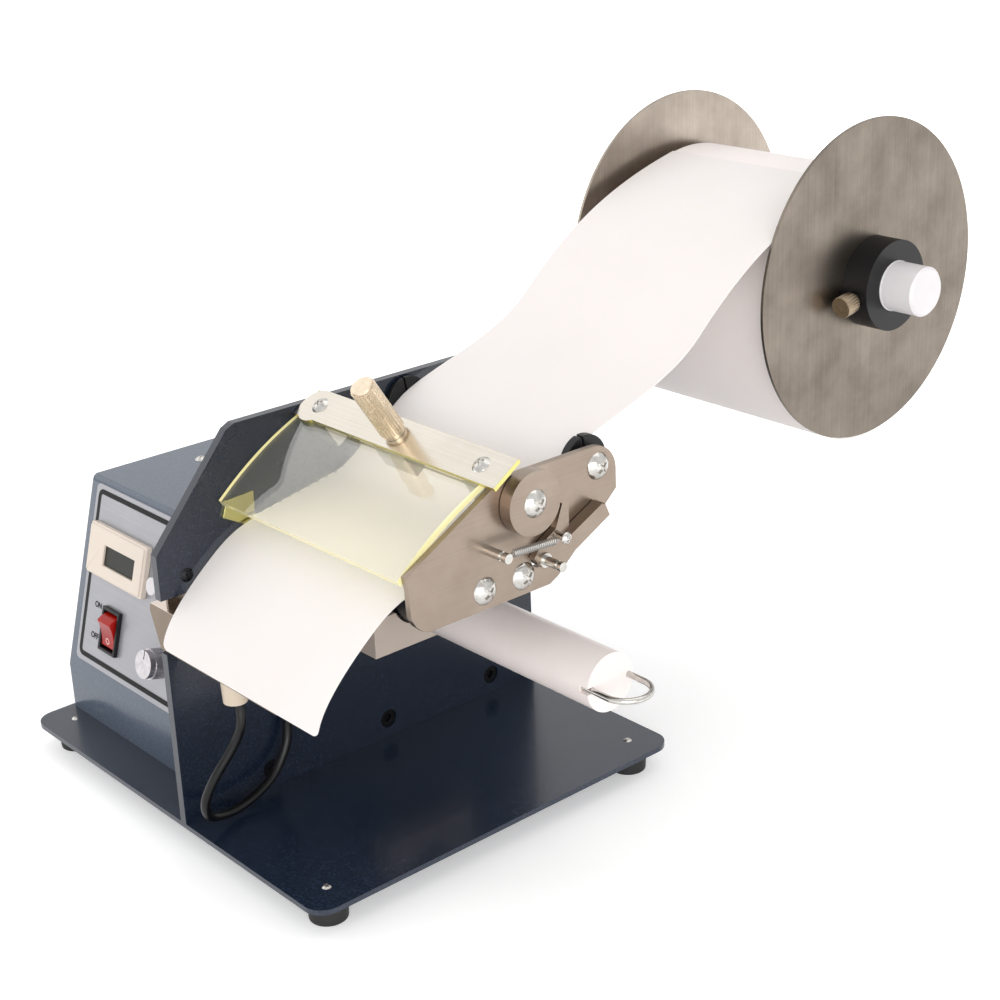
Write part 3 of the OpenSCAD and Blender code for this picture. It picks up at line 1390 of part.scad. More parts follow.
// Take-up roller with its hub, block and wire clip
hub_share = 0.95;
module take_up_shaft() color("black") framed() {
    x0 = low_belt_x - 2 * rim_t;
    bar(x0, take_up_y, take_up_z, take_up_shaft_r, take_up_x + 4 * take_up_shaft_r - x0);
    pulley(low_belt_x, take_up_y, take_up_z, take_up_pulley_r);
    bar(plate_in + 2 * run_gap, take_up_y, take_up_z, take_up_r * hub_share, hub_l - 3 * run_gap);
}

module take_up_roller() color("whitesmoke") framed() {
    end_x = take_up_x + take_up_l;
    slot_d = 5;
    difference() {
        bar(take_up_x, take_up_y, take_up_z, take_up_r, take_up_l);
        bar(take_up_x - over, take_up_y, take_up_z, take_up_shaft_r + fit_gap, 4 * take_up_shaft_r + over + run_gap);
        for (side = [-1, 1]) {
            bar(end_x - clip_leg_l - over, take_up_y + side * clip_w / 2, take_up_z, clip_r + fit_gap,
                clip_leg_l + 2 * over);
            translate([end_x - slot_d, take_up_y + side * clip_w / 2 - (side < 0 ? slot_d : 0),
                take_up_z - clip_r - fit_gap])
                cube([slot_d + over, slot_d, 2 * (clip_r + fit_gap)]);
        }
    }
}
clip_leg_l = 90;
take_up_block_front = 25.8;
take_up_block_low = 24.3;
take_up_block_size = [51.3, 19];

module take_up_block() color("antiquewhite") framed() {
    difference() {
        translate([plate_in, take_up_y - take_up_block_front, take_up_z - take_up_block_low])
            cube([hub_l, take_up_block_size.x, take_up_block_size.y]);
        bar(plate_in - over, take_up_y, take_up_z, take_up_r + over, hub_l + 2 * over);
    }
}

module u_clip() color("silver") framed() {
    bend_x = clip_end_x - clip_r - clip_w / 2;
    leg_x = take_up_x + take_up_l - clip_leg_l;
    for (side = [-1, 1]) bar(leg_x, take_up_y + side * clip_w / 2, take_up_z, clip_r, bend_x - leg_x);
    translate([bend_x, take_up_y, take_up_z]) intersection() {
        rotate_extrude() translate([clip_w / 2, 0]) circle(clip_r);
        translate([0, -clip_w, -clip_w]) cube([clip_w, 2 * clip_w, 2 * clip_w]);
    }
}

base_plate();
rubber_feet();
main_plate();
plate_angle();
plate_screws();
frame_screws();
control_box();
panel_overlay();
counter_case();
counter_display();
switch_housing();
rocker();
speed_control();
speed_knob();
reset_switch();
reset_button();
circuit_board();
transformer();
power_inlet();
gear_motor();
motor_bracket();
motor_shaft();
belts();
side_plate();
side_plate_screws();
bed_plate();
shaft_bearings();
drive_shaft();
drive_roller();
pinch_roller();
pressure_lever();
lever_shaft();
lever_screws();
lever_spring();
spring_post();
guide_rod();
guide_collar_left();
guide_collar_right();
cover();
cover_blocks();
cross_plate();
clamp_knob();
sensor_bracket();
label_sensor();
sensor_cable();
cable_grommet();
reel_arm();
reel_spindle();
reel_shaft();
flange_left();
flange_right();
clamp_collar();
thumb_screw();
paper_roll();
roll_core();
label_web();
take_up_roller();
take_up_shaft();
take_up_block();
u_clip();
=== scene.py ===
# %% [markdown]
# # A benchtop label dispenser
# A reel behind the machine feeds a web of labels over a guide rod and under a clear yellow cover, a
# driven rubber roller pulls it through, and the labels come out over the front edge. The solid model
# of the machine is fixed and comes from its source. This script gives each of its surfaces the finish
# of the real one, and adds what a solid model is poor at: the sheet of labels, the sensor's lead, the
# printed panel and the softened edges.

# %% Load the fixed model
import json
import math

import bpy
from mathutils import Matrix, Vector


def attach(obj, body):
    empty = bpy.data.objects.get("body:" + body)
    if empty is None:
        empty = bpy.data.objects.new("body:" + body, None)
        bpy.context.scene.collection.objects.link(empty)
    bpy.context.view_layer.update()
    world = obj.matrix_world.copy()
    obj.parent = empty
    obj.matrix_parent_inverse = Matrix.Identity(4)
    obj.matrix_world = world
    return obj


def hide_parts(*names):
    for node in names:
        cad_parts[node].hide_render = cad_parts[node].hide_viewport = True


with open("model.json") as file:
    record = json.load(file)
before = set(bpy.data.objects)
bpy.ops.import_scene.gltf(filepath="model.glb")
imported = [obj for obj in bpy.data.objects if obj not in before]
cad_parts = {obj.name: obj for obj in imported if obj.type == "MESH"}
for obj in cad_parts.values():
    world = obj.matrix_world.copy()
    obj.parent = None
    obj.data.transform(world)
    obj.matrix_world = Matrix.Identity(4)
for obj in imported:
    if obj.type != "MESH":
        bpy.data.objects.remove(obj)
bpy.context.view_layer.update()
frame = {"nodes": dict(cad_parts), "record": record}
nodes = frame["nodes"]

# %% [markdown]
# The source measures in millimetres from the front left corner of the base plate, on its top. The
# origin here lies on the floor below the middle of the machine. One small function turns the
# first into the second, so that the numbers below can be compared with the source.

# %% Places in millimetres from the base plate's corner
ORIGIN = (148.15, 193.575, -13.9)


def place(x, y, z):
    return Vector(((x - ORIGIN[0]) / 1000, (y - ORIGIN[1]) / 1000, (z - ORIGIN[2]) / 1000))


print("the base plate's corner, in metres:", tuple(round(c, 4) for c in place(0, 0, 0)))

# %% Choosing a piece


def deselect():
    for one in bpy.context.selected_objects:
        one.select_set(False)


def choose(piece):
    deselect()
    piece.select_set(True)
    bpy.context.view_layer.objects.active = piece


# %% [markdown]
# The camera stands where the photograph was taken from. Its place, turn and lens were worked out from
# the edges of the two plates and the rims of the reel.

# %% Camera
lens = bpy.data.cameras.new("photo_camera")
lens.lens = 67.53
lens.sensor_width = 36
camera = bpy.data.objects.new("photo_camera", lens)
camera.location = (0.62131, -0.545485, 0.43936)
camera.rotation_euler = (1.194815, 0.037281, 0.850307)
bpy.context.collection.objects.link(camera)
bpy.context.scene.camera = camera
print("the lens is of", round(lens.lens, 2), "mm, and", round(camera.location.z, 3), "m above the floor")

# %% [markdown]
# The sensor's lead is a black cable, a little over 4 mm thick. It leaves the tapered end of the sensor,
# hangs down in a loose loop that rests on the base plate, and goes up and into a rubber grommet in the
# main plate. It is drawn as a curve, because a curve is what a cable is: a line with a thickness. The
# curve is then turned into a mesh, which keeps to its true size in every view.

# %% A smooth line through points


def between(a, b, c, d, t):
    """A point of the smooth line through b and c, a share t of the way."""
    square, cube = 2 * a - 5 * b + 4 * c - d, 3 * b - 3 * c + d - a
    return 0.5 * (2 * b + (c - a) * t + square * t ** 2 + cube * t ** 3)


def smooth_line(points, steps):
    """The points with more between them, on one smooth line."""
    line = []
    for i in range(len(points) - 1):
        four = [points[max(0, i - 1)], points[i], points[i + 1], points[min(len(points) - 1, i + 2)]]
        line += [between(*four, k / steps) for k in range(steps)]
    return line + [points[-1]]


# %% Sensor lead
LEAD_POINTS = [(165, 16, 65), (165, 16, 62), (166, 15, 54), (164, 12, 45), (160, 3, 30), (156, 0, 18),
               (152, 5, 8), (148, 21, 4), (145, 40, 9), (143, 51, 21), (142, 54, 34), (144, 53, 44),
               (143, 50, 51), (139.6, 50, 51)]
LEAD_THICK = 4.2
lead_line = smooth_line([place(*p) for p in LEAD_POINTS], 6)
lead_curve = bpy.data.curves.new("sensor_lead", "CURVE")
lead_curve.dimensions = "3D"
lead_curve.bevel_depth = LEAD_THICK / 2000
lead_curve.bevel_resolution = 6
lead_curve.use_fill_caps = True
spline = lead_curve.splines.new("POLY")
spline.points.add(len(lead_line) - 1)
for point, spot in zip(spline.points, lead_line):
    point.co = (*spot, 1)
lead = bpy.data.objects.new("sensor_lead", lead_curve)
bpy.context.collection.objects.link(lead)
choose(lead)
bpy.ops.object.convert(target="MESH")
lead = bpy.context.active_object
bpy.ops.object.shade_smooth_by_angle(angle=math.radians(50))
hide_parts("sensor_cable")
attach(lead, "frame")

# %% [markdown]
# Colours are written as the hex codes that a colour picker shows, and one function turns them to the
# linear values that Blender works with. A second function adds a shader node with its settings and
# links, and a third starts a material: a Principled shader, and the place on the piece in metres.

# %% Colours, nodes and materials


def colour(code):
    shares = [int(code[i:i + 2], 16) / 255 for i in (1, 3, 5)]
    return (*[s / 12.92 if s <= 0.04045 else ((s + 0.055) / 1.055) ** 2.4 for s in shares], 1.0)


def add(tree, kind, sockets=None, **settings):
    made = tree.nodes.new(kind)
    for name, value in settings.items():
        setattr(made, name, value)
    for name, value in (sockets or {}).items():
        if isinstance(value, bpy.types.NodeSocket):
            tree.links.new(value, made.inputs[name])
        else:
            made.inputs[name].default_value = value
    return made


def start(name, **sockets):
    """A new material: itself, its node tree, its Principled shader and the place on the piece."""
    made = bpy.data.materials.new(name)
    made.use_nodes = True
    tree = made.node_tree
    tree.nodes.clear()
    values = {key.replace("_", " "): value for key, value in sockets.items()}
    shader = add(tree, "ShaderNodeBsdfPrincipled", values)
    add(tree, "ShaderNodeOutputMaterial", {"Surface": shader.outputs["BSDF"]})
    where = add(tree, "ShaderNodeTexCoord").outputs["Object"]
    return made, tree, shader, where


print("half of full brightness on screen is", round(colour("#808080")[0], 3), "as a linear value")

# %% [markdown]
# Nearly every finish here is built from the same few steps: noise at a real size, a spread that maps a
# value on to a range, a blend of two colours, and a bump. Each is a function, so that a finish can be
# written with the sizes in millimetres that its grain has on the real thing.

# %% Steps of a finish


def noise(tree, where, per_metre, detail, **more):
    """Soft noise from 0 to 1, with about so many waves in a metre."""
    sockets = {"Vector": where, "Scale": per_metre, "Detail": detail, **more}
    return add(tree, "ShaderNodeTexNoise", sockets).outputs["Fac"]


def spread(tree, value, **ends):
    """Maps a value from one range on to another, both 0 to 1 unless the ends say otherwise."""
    sockets = {key.replace("_", " "): end for key, end in ends.items()}
    return add(tree, "ShaderNodeMapRange", {"Value": value, **sockets}).outputs["Result"]


def maths(tree, operation, *values, **settings):
    sockets = dict(enumerate(values))
    return add(tree, "ShaderNodeMath", sockets, operation=operation, **settings).outputs["Value"]


def blend(tree, share, first, second):
    """Mixes two colours, each a hex code or the output of a node."""
    ends = [colour(end) if isinstance(end, str) else end for end in (first, second)]
    sockets = {"Factor": share, "A": ends[0], "B": ends[1]}
    return add(tree, "ShaderNodeMix", sockets, data_type="RGBA").outputs["Result"]


def bump(tree, height, strength, distance_mm):
    sockets = {"Height": height, "Strength": strength, "Distance": distance_mm / 1000}
    return add(tree, "ShaderNodeBump", sockets).outputs["Normal"]


def feed(tree, shader, **outputs):
    """Links the outputs of nodes to the shader's inputs of these names."""
    for key, output in outputs.items():
        tree.links.new(output, shader.inputs[key.replace("_", " ")])


# %% Putting a finish on a piece


def dress(material, *names):
    """Gives the material to solid model nodes, by name."""
    for name in names:
        held = nodes[name].data
        held.materials.clear()
        held.materials.append(material)
    print(material.name, "is on", ", ".join(names))


# %% [markdown]
# The base and the main plate are sheet steel with a baked enamel in dark slate blue. Such an enamel is
# glossy, but its skin isn't flat: it has a fine orange peel and tiny speckles, about a millimetre
# across. Noise at that size bumps the surface and shifts the colour a little. The box is paler. The
# tall plate has the base's enamel, painted darker as painted shade, because it faces away from most
# of the light.

# %% Baked enamel


def enamel(name, deep, pale, peel_mm, roughness):
    made, tree, shader, where = start(name, Roughness=roughness, Coat_Weight=0.25, Coat_Roughness=0.1)
    peel = noise(tree, where, 1000 / peel_mm, detail=3.0)
    cloud = noise(tree, where, per_metre=14.0, detail=2.0)
    speckle = spread(tree, peel, From_Min=0.42, From_Max=0.68)
    share = maths(tree, "MULTIPLY", speckle, cloud)
    feed(tree, shader, Base_Color=blend(tree, share, deep, pale),
         Normal=bump(tree, peel, strength=0.22, distance_mm=0.3))
    return made


dress(enamel("dark_slate_enamel", "#1a2434", "#2c3a50", 1.1, 0.25), "base_plate", "reel_arm")
# The main plate's enamel is the base's, painted darker: painted shade where it faces away from the light.
dress(enamel("slate_enamel_painted_shade", "#121a28", "#232f43", 1.1, 0.25), "main_plate")
dress(enamel("slate_grey_enamel", "#465263", "#5a6779", 1.1, 0.22), "control_box")

# %% [markdown]
# Stainless sheet is brushed or rolled in one direction, and shows fine lines along it and faint cloudy
# marks from handling. The side plate and the lever are such sheets, and the reel's flanges are thin
# bare discs. The left flange's steel is painted paler as painted light, and the right one's darker as
# painted shade. The noise is drawn out along one axis to make the lines, about half a millimetre apart.

# %% Brushed stainless steel
ALONG_X, ALONG_Y, ALONG_Z = 0, 1, 2


def brushed(name, deep, pale, along, roughness, line_mm=0.5, marks=0.5):
    """Bare metal with fine lines along one axis, and cloudy marks over them."""
    made, tree, shader, where = start(name, Metallic=1.0)
    stretch = [1000 / line_mm] * 3
    stretch[along] = 12  # the lines are as long as a twelfth of a metre
    lines_at = add(tree, "ShaderNodeMapping", {"Vector": where, "Scale": stretch}).outputs["Vector"]
    lines = noise(tree, lines_at, per_metre=1.0, detail=3.0)
    cloud = noise(tree, where, per_metre=38.0, detail=5.0, Roughness=0.62)
    cloud = spread(tree, cloud, From_Min=0.3, From_Max=0.72)
    mixed = add(tree, "ShaderNodeMix", {"Factor": marks, "A": lines, "B": cloud}).outputs["Result"]
    feed(tree, shader, Base_Color=blend(tree, mixed, deep, pale),
         Roughness=spread(tree, mixed, To_Min=roughness + 0.1, To_Max=roughness - 0.06),
         Normal=bump(tree, lines, strength=0.05, distance_mm=0.2))
    return made


dress(brushed("brushed_stainless_sheet", "#8c7e72", "#a49689", ALONG_Y, 0.3), "side_plate", "pressure_lever")
# The two flanges are one steel: the right one is painted darker as painted shade, the left one paler as
# painted light.
dress(brushed("flange_steel_painted_shade", "#645c54", "#8f857a", ALONG_Z, 0.34, line_mm=0.9, marks=0.55),
      "flange_right")
dress(brushed("flange_steel_painted_light", "#8b8177", "#b9aea2", ALONG_Z, 0.3, line_mm=0.9), "flange_left")
dress(brushed("milled_aluminium", "#b9b9ba", "#dededf", ALONG_X, 0.32), "cover_blocks")
dress(brushed("bright_steel_bar", "#9d9c9b", "#cfcfce", ALONG_X, 0.24), "motor_shaft", "drive_shaft",
      "reel_spindle", "gear_motor", "motor_bracket", "plate_angle")
dress(brushed("drawn_spring_wire", "#8b8a88", "#c4c2bf", ALONG_Y, 0.28), "lever_spring")

# %% [markdown]
# A polished sheet shows what is beside it. The edges of the cross plate and the ear of the bed at the
# cover's corner are painted the cover's yellow, as painted yellow light from the cover. The bracket's
# shelf is painted bright above its front as painted light from above, and its front is painted darker
# as painted shade. So a second colour is mixed into a finish where a measured value says so: how far
# to the right a point lies, or how squarely its surface faces a given way.

# %% A second colour in a finish


def along_x(material):
    """Where on the piece a point lies from left to right, in metres."""
    tree = material.node_tree
    where = add(tree, "ShaderNodeTexCoord").outputs["Object"]
    return add(tree, "ShaderNodeSeparateXYZ", {"Vector": where}).outputs["X"]


def faces_along(material, way):
    """How squarely a surface faces along a way, 1 for the face and 0 for an edge."""
    tree = material.node_tree
    normal = add(tree, "ShaderNodeTexCoord").outputs["Normal"]
    along = add(tree, "ShaderNodeVectorMath", {0: normal, 1: way}, operation="DOT_PRODUCT").outputs["Value"]
    return maths(tree, "ABSOLUTE", along)


def shader_of(material):
    return next(n for n in material.node_tree.nodes if n.type == "BSDF_PRINCIPLED")


def own_colour_or_painted_light_where(material, code, measured, low, high):
    """Mixes a second colour into a finish, a part's own colour or painted light, where the measured value
    runs from low to high.
    """
    tree = material.node_tree
    shader = shader_of(material)
    before = shader.inputs["Base Color"].links[0].from_socket
    share = spread(tree, measured, From_Min=low, From_Max=high)
    feed(tree, shader, Base_Color=blend(tree, share, before, code))


# %% Polished sheets beside the cover
COVER_SLOPE = math.radians(32.7)
OUT_OF_COVER = (0, -math.sin(COVER_SLOPE), math.cos(COVER_SLOPE))
BED_EAR_END = 139.2
TURNS_WITHIN = 0.3  # mm, the width of the line where one colour turns to the other
cross_steel = brushed("polished_stainless_painted_yellow_light", "#c1bbb0", "#d0cabf", ALONG_X, 0.2, marks=0.3)
# The cross plate's edges get the cover's yellow: painted yellow light from the cover.
own_colour_or_painted_light_where(cross_steel, "#d3ca80", faces_along(cross_steel, OUT_OF_COVER), 0.8, 0.5)
dress(cross_steel, "cross_plate")
bed_steel = brushed("polished_bed_sheet_painted_yellow_light", "#e6e3dc", "#f6f4ee", ALONG_X, 0.18, marks=0.3)
# The bed's ear left of BED_EAR_END gets the cover's yellow: painted yellow light from the cover.
own_colour_or_painted_light_where(bed_steel, "#cfca8c", along_x(bed_steel), place(BED_EAR_END, 0, 0).x,
             place(BED_EAR_END - TURNS_WITHIN, 0, 0).x)
dress(bed_steel, "bed_plate")
# The bracket's steel is painted darker on its front as painted shade, and paler on its upward faces as
# painted light.
bracket_steel = brushed("bent_bracket_sheet_painted_light_and_shade", "#6f6357", "#84776a", ALONG_X, 0.26)
own_colour_or_painted_light_where(bracket_steel, "#e4d5ca", faces_along(bracket_steel, (0, 0, 1)), 0.5, 0.85)
dress(bracket_steel, "sensor_bracket")

# %% [markdown]
# Screws, rods and the wire clip are plated. Plating follows the steel below it, so it is bright with
# slight waves, and darker in the pores. The two thumb screws are nickel, which is warmer and greyer.
# The thumb screw on the reel's collar has the clamp knob's nickel, painted darker as painted shade.

# %% Plated steel and nickel


def plated(name, deep, pale, roughness):
    made, tree, shader, where = start(name, Metallic=1.0)
    waves = noise(tree, where, per_metre=420.0, detail=4.0)
    feed(tree, shader, Base_Color=blend(tree, waves, deep, pale),
         Roughness=spread(tree, waves, To_Min=roughness + 0.08, To_Max=roughness),
         Normal=bump(tree, waves, strength=0.06, distance_mm=0.4))
    return made


dress(plated("bright_zinc_plating", "#a29e98", "#e0deda", 0.14), "side_plate_screws", "frame_screws",
      "lever_shaft", "lever_screws", "spring_post", "guide_rod", "u_clip")
dress(plated("warm_nickel_plating", "#bfae96", "#eadbc5", 0.24), "clamp_knob")
# The thumb screw's nickel is the clamp knob's, painted darker: painted shade.
dress(plated("nickel_plating_painted_shade", "#84745f", "#b3a28b", 0.28), "thumb_screw")
dress(plated("satin_chromed_knob", "#99979a", "#cbc7c9", 0.18), "speed_knob")
dress(plated("blackened_screw", "#1c1c1e", "#37373a", 0.4), "plate_screws")
dress(plated("sintered_bronze", "#7a5c34", "#a98552", 0.42), "shaft_bearings")
dress(plated("lacquered_iron_sheets", "#2a2b2d", "#4b4c4f", 0.5), "transformer")

# %% [markdown]
# Moulded plastic has a skin from its mould: nylon and ABS are smooth and a little glossy, the collars
# and the switch are black and matter. Rubber is duller still, with a chalky bloom where it is touched.
# The take-up block's cream is painted deeper than the counter case's, as painted shade from the plates
# around it.

# %% Moulded plastic and rubber


def moulded(name, deep, pale, grain_mm, roughness, relief=0.1, **more):
    made, tree, shader, where = start(name, **more)
    grain = noise(tree, where, 1000 / grain_mm, detail=3.0)
    cloud = noise(tree, where, per_metre=60.0, detail=3.0)
    feed(tree, shader, Base_Color=blend(tree, cloud, deep, pale),
         Roughness=spread(tree, cloud, To_Min=roughness - 0.06, To_Max=roughness + 0.08),
         Normal=bump(tree, grain, relief, distance_mm=0.2))
    return made


dress(moulded("black_rubber", "#121212", "#232324", 0.6, 0.62), "rubber_feet", "drive_roller", "belts",
      "cable_grommet")
lead.data.materials.append(moulded("black_cable_sheath", "#050506", "#0d0d0f", 0.5, 0.3,
                                   Specular_IOR_Level=0.3))
dress(moulded("grey_roller_rubber", "#3a3a3c", "#515154", 0.6, 0.55), "pinch_roller")
dress(moulded("black_abs", "#0c0c0e", "#18181a", 0.7, 0.4, Specular_IOR_Level=0.3), "clamp_collar",
      "guide_collar_left", "guide_collar_right", "switch_housing", "speed_control", "reset_switch",
      "power_inlet")
dress(moulded("gloss_black_hub", "#08080a", "#141416", 1.0, 0.2, Coat_Weight=0.4), "take_up_shaft")
dress(moulded("white_nylon", "#dcd8da", "#ebe7e8", 1.2, 0.34, Subsurface_Weight=0.08,
              Subsurface_Scale=0.002), "reel_shaft", "reset_button")
dress(moulded("cream_abs", "#e2d4c6", "#ecdfd1", 0.8, 0.36), "counter_case")
# The block's cream is painted deeper than the counter's: painted shade from the plates around it.
dress(moulded("cream_block_painted_shade", "#bfb1a5", "#c9bbaf", 0.8, 0.4), "take_up_block")
dress(moulded("beige_abs", "#cabba7", "#d9cab7", 0.6, 0.45), "label_sensor")
dress(moulded("red_switch_plastic", "#980d07", "#b6170d", 0.9, 0.22, Specular_IOR_Level=0.25), "rocker")
dress(moulded("display_window", "#20221c", "#2a2c25", 2.0, 0.3, relief=0.02, Specular_IOR_Level=0.2),
      "counter_display")
dress(moulded("green_circuit_board", "#12502a", "#1d6a3a", 0.8, 0.35), "circuit_board")

# %% [markdown]
# The take-up roller has a pale sleeve, but its end beside the block is as black as the hub. The two
# meet behind the side plate, so one material turns from black to white along the roller.

# %% Take-up roller
DARK_END = 168.0
roller_sleeve = moulded("white_roller_sleeve", "#f3e8e4", "#fbf2ef", 1.4, 0.36)
own_colour_or_painted_light_where(roller_sleeve, "#26262a", along_x(roller_sleeve), place(DARK_END + TURNS_WITHIN, 0, 0).x,
             place(DARK_END, 0, 0).x)
dress(roller_sleeve, "take_up_roller")

# %% [markdown]
# The panel is a thin aluminium plate, printed in silver lilac and sealed with a clear film. The film
# makes a second, smoother gloss over a fine metallic grain.

# %% Printed aluminium panel
panel_film = brushed("printed_aluminium_film", "#95959b", "#acacb1", ALONG_X, 0.42, line_mm=0.4,
                     marks=0.25)
panel_shader = shader_of(panel_film)
panel_shader.inputs["Metallic"].default_value = 0.35
panel_shader.inputs["Coat Weight"].default_value = 0.3
dress(panel_film, "panel_overlay")

# %% [markdown]
# Label paper is coated and smooth, with a very fine tooth. The roll's paper is the web's paper,
# painted a little paler as painted light. The roll's end shows the edges of its many turns as thin
# rings, so a wave of the distance from the roll's axis darkens it. Its core is wound card, which is
# brown and coarser.

# %% Label paper


def paper(name, deep, pale):
    made, tree, shader, where = start(name, Roughness=0.55, Subsurface_Weight=0.05, Subsurface_Scale=0.001)
    tint = blend(tree, noise(tree, where, per_metre=18.0, detail=2.0), deep, pale)
    tooth = noise(tree, where, per_metre=1400.0, detail=4.0)
    feed(tree, shader, Base_Color=tint, Normal=bump(tree, tooth, strength=0.05, distance_mm=0.1))
    return made, tree, shader, where, tint


web_paper = paper("coated_label_paper", "#ece5e2", "#f3edea")[0]
print(web_paper.name, "waits for the web of labels")

# %% Rings on the roll's end
ROLL_Y, ROLL_Z, ROLL_R = 316.6, 185.75, 62.45
RING_WAVE = 9000.0  # radians in a metre, so the rings lie 0.7 mm apart
RING_DEPTH = 0.22
# The roll's paper is painted a little paler than the web's: painted light.
roll_paper, tree, shader, where, tint = paper("roll_paper_painted_light", "#f4ebe8", "#fbf4f1")
roll_axis = place(0, ROLL_Y, ROLL_Z)
from_axis = add(tree, "ShaderNodeMapping", {"Vector": where, "Location": -roll_axis}).outputs["Vector"]
flat = add(tree, "ShaderNodeVectorMath", {0: from_axis, 1: (0, 1, 1)}, operation="MULTIPLY")
reach = add(tree, "ShaderNodeVectorMath", {0: flat.outputs["Vector"]}, operation="LENGTH").outputs["Value"]
rings = maths(tree, "SINE", maths(tree, "MULTIPLY", reach, RING_WAVE))
shade = maths(tree, "MULTIPLY", rings, faces_along(roll_paper, (1, 0, 0)))
amount = maths(tree, "MULTIPLY", shade, RING_DEPTH, use_clamp=True)
feed(tree, shader, Base_Color=blend(tree, amount, tint, "#b9a999"))
dress(roll_paper, "paper_roll")
dress(moulded("wound_card", "#8f7350", "#b0926b", 0.9, 0.75, relief=0.3), "roll_core")

# %% [markdown]
# The cover is cast acrylic, clear with a yellow tint. Light that enters its faces is guided to its
# edges and leaves there, so a tinted sheet looks pale face on and strong at every edge. Here the
# surface's own direction tells the two apart: the edges are painted an opaque pale yellow, which is
# the sheet's own tint and painted light for the light that leaves there. Light that falls through the
# sheet on to the labels passes straight on, which is the usual way to keep what lies under thick glass lit.

# %% Tinted acrylic
acrylic, tree, shader, where = start("yellow_tinted_acrylic", Roughness=0.04, IOR=1.49, Coat_Weight=0.6)
is_face = spread(tree, faces_along(acrylic, OUT_OF_COVER), From_Min=0.55, From_Max=0.9, To_Max=0.965)
# The edges are an opaque pale yellow: the sheet's own tint, and painted light for the light that leaves
# there.
feed(tree, shader, Base_Color=blend(tree, is_face, "#f3ebb2", "#fffcf3"), Transmission_Weight=is_face)
path = add(tree, "ShaderNodeLightPath").outputs
lit = maths(tree, "MAXIMUM", path["Is Shadow Ray"], path["Is Diffuse Ray"])
clear = add(tree, "ShaderNodeBsdfTransparent", {"Color": colour("#fffff4")}).outputs["BSDF"]
through = add(tree, "ShaderNodeMixShader", {0: lit, 1: shader.outputs["BSDF"], 2: clear}).outputs["Shader"]
surface = next(n for n in tree.nodes if n.type == "OUTPUT_MATERIAL").inputs["Surface"]
tree.links.new(through, surface)
dress(acrylic, "cover")

# %% [markdown]
# No real edge is as sharp as a solid model's: sheet is deburred, castings are tumbled, and a mould
# can't fill a perfect corner. A rounded edge catches a thin line of light, and the eye reads the
# piece's size from it. So the pieces that show get a copy of the solid's mesh with its edges rounded,
# and the copy stands for the solid. The mesh is loose triangles at first, so they are merged, flat
# faces are dissolved into one, and the Bevel modifier rounds each edge that turns by more than 30
# degrees. Weighted normals then keep the large faces flat, so that only the edges look round. The
# copy's box is set against the solid's, to show that it is still the same piece.

# %% Copies that stand for the solids
body_of = {name: body for body, names in frame["record"]["behaviour"]["bodies"].items() for name in names}
MERGE_MM, FLAT_DEGREES, SMOOTH_DEGREES = 0.003, 0.6, 32


def copy_of(node):
    """A copy of a solid's mesh with its finish, its triangles merged into flat faces."""
    piece = bpy.data.objects.new(node + "_rounded", nodes[node].data.copy())
    bpy.context.collection.objects.link(piece)
    choose(piece)
    bpy.ops.object.mode_set(mode="EDIT")
    bpy.ops.mesh.select_all(action="SELECT")
    bpy.ops.mesh.remove_doubles(threshold=MERGE_MM / 1000)
    bpy.ops.mesh.dissolve_limited(angle_limit=math.radians(FLAT_DEGREES))
    bpy.ops.object.mode_set(mode="OBJECT")
    return piece


def stands_for(piece, node):
    """Shades the copy, and lets it ride with the solid's body and stand for the solid."""
    bpy.ops.object.shade_smooth_by_angle(angle=math.radians(SMOOTH_DEGREES))
    even = piece.modifiers.new("large faces stay flat", "WEIGHTED_NORMAL")
    even.weight = 100
    even.keep_sharp = True
    bpy.ops.object.modifier_apply(modifier=even.name)
    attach(piece, body_of[node])
    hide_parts(node)


# %% Rounded edges


def corners(piece):
    """The least and greatest place along each axis."""
    spots = [v.co for v in piece.data.vertices]
    return [f(spot[i] for spot in spots) for i in range(3) for f in (min, max)]


def round_edges(width_mm, *names, steps=2, turn=30):
    for node in names:
        piece = copy_of(node)
        rounding = piece.modifiers.new("rounded edges", "BEVEL")
        rounding.width = width_mm / 1000
        rounding.segments = steps
        rounding.limit_method = "ANGLE"
        rounding.angle_limit = math.radians(turn)
        bpy.ops.object.modifier_apply(modifier=rounding.name)
        stands_for(piece, node)
        off = max(abs(a - b) for a, b in zip(corners(piece), corners(nodes[node])))
        print(node, "faces", len(piece.data.polygons), "box off by", round(off * 1000, 3), "mm")


round_edges(0.35, "base_plate", "main_plate", "reel_arm")
round_edges(0.22, "side_plate", "pressure_lever", "sensor_bracket", "cross_plate", "bed_plate", "flange_left",
            "flange_right")
round_edges(0.3, "cover_blocks", "take_up_block", "take_up_roller", "reel_shaft", "reset_button")
round_edges(0.5, "clamp_collar", "guide_collar_left", "guide_collar_right", "label_sensor", "rubber_feet",
            steps=3)
round_edges(0.7, "counter_case", steps=3)
round_edges(0.4, "switch_housing", "rocker", "speed_knob")
round_edges(0.25, "clamp_knob", "thumb_screw", "side_plate_screws", "lever_screws", "frame_screws",
            "plate_screws")

# %% [markdown]
# The control box is folded from sheet. A fold is rounder than a cut edge: its outside has a radius of
# about twice the sheet's thickness. The folds are the long edges between two wide outer faces, so
# they are found by that and rounded. The cut edges of the sheet stay as they are.

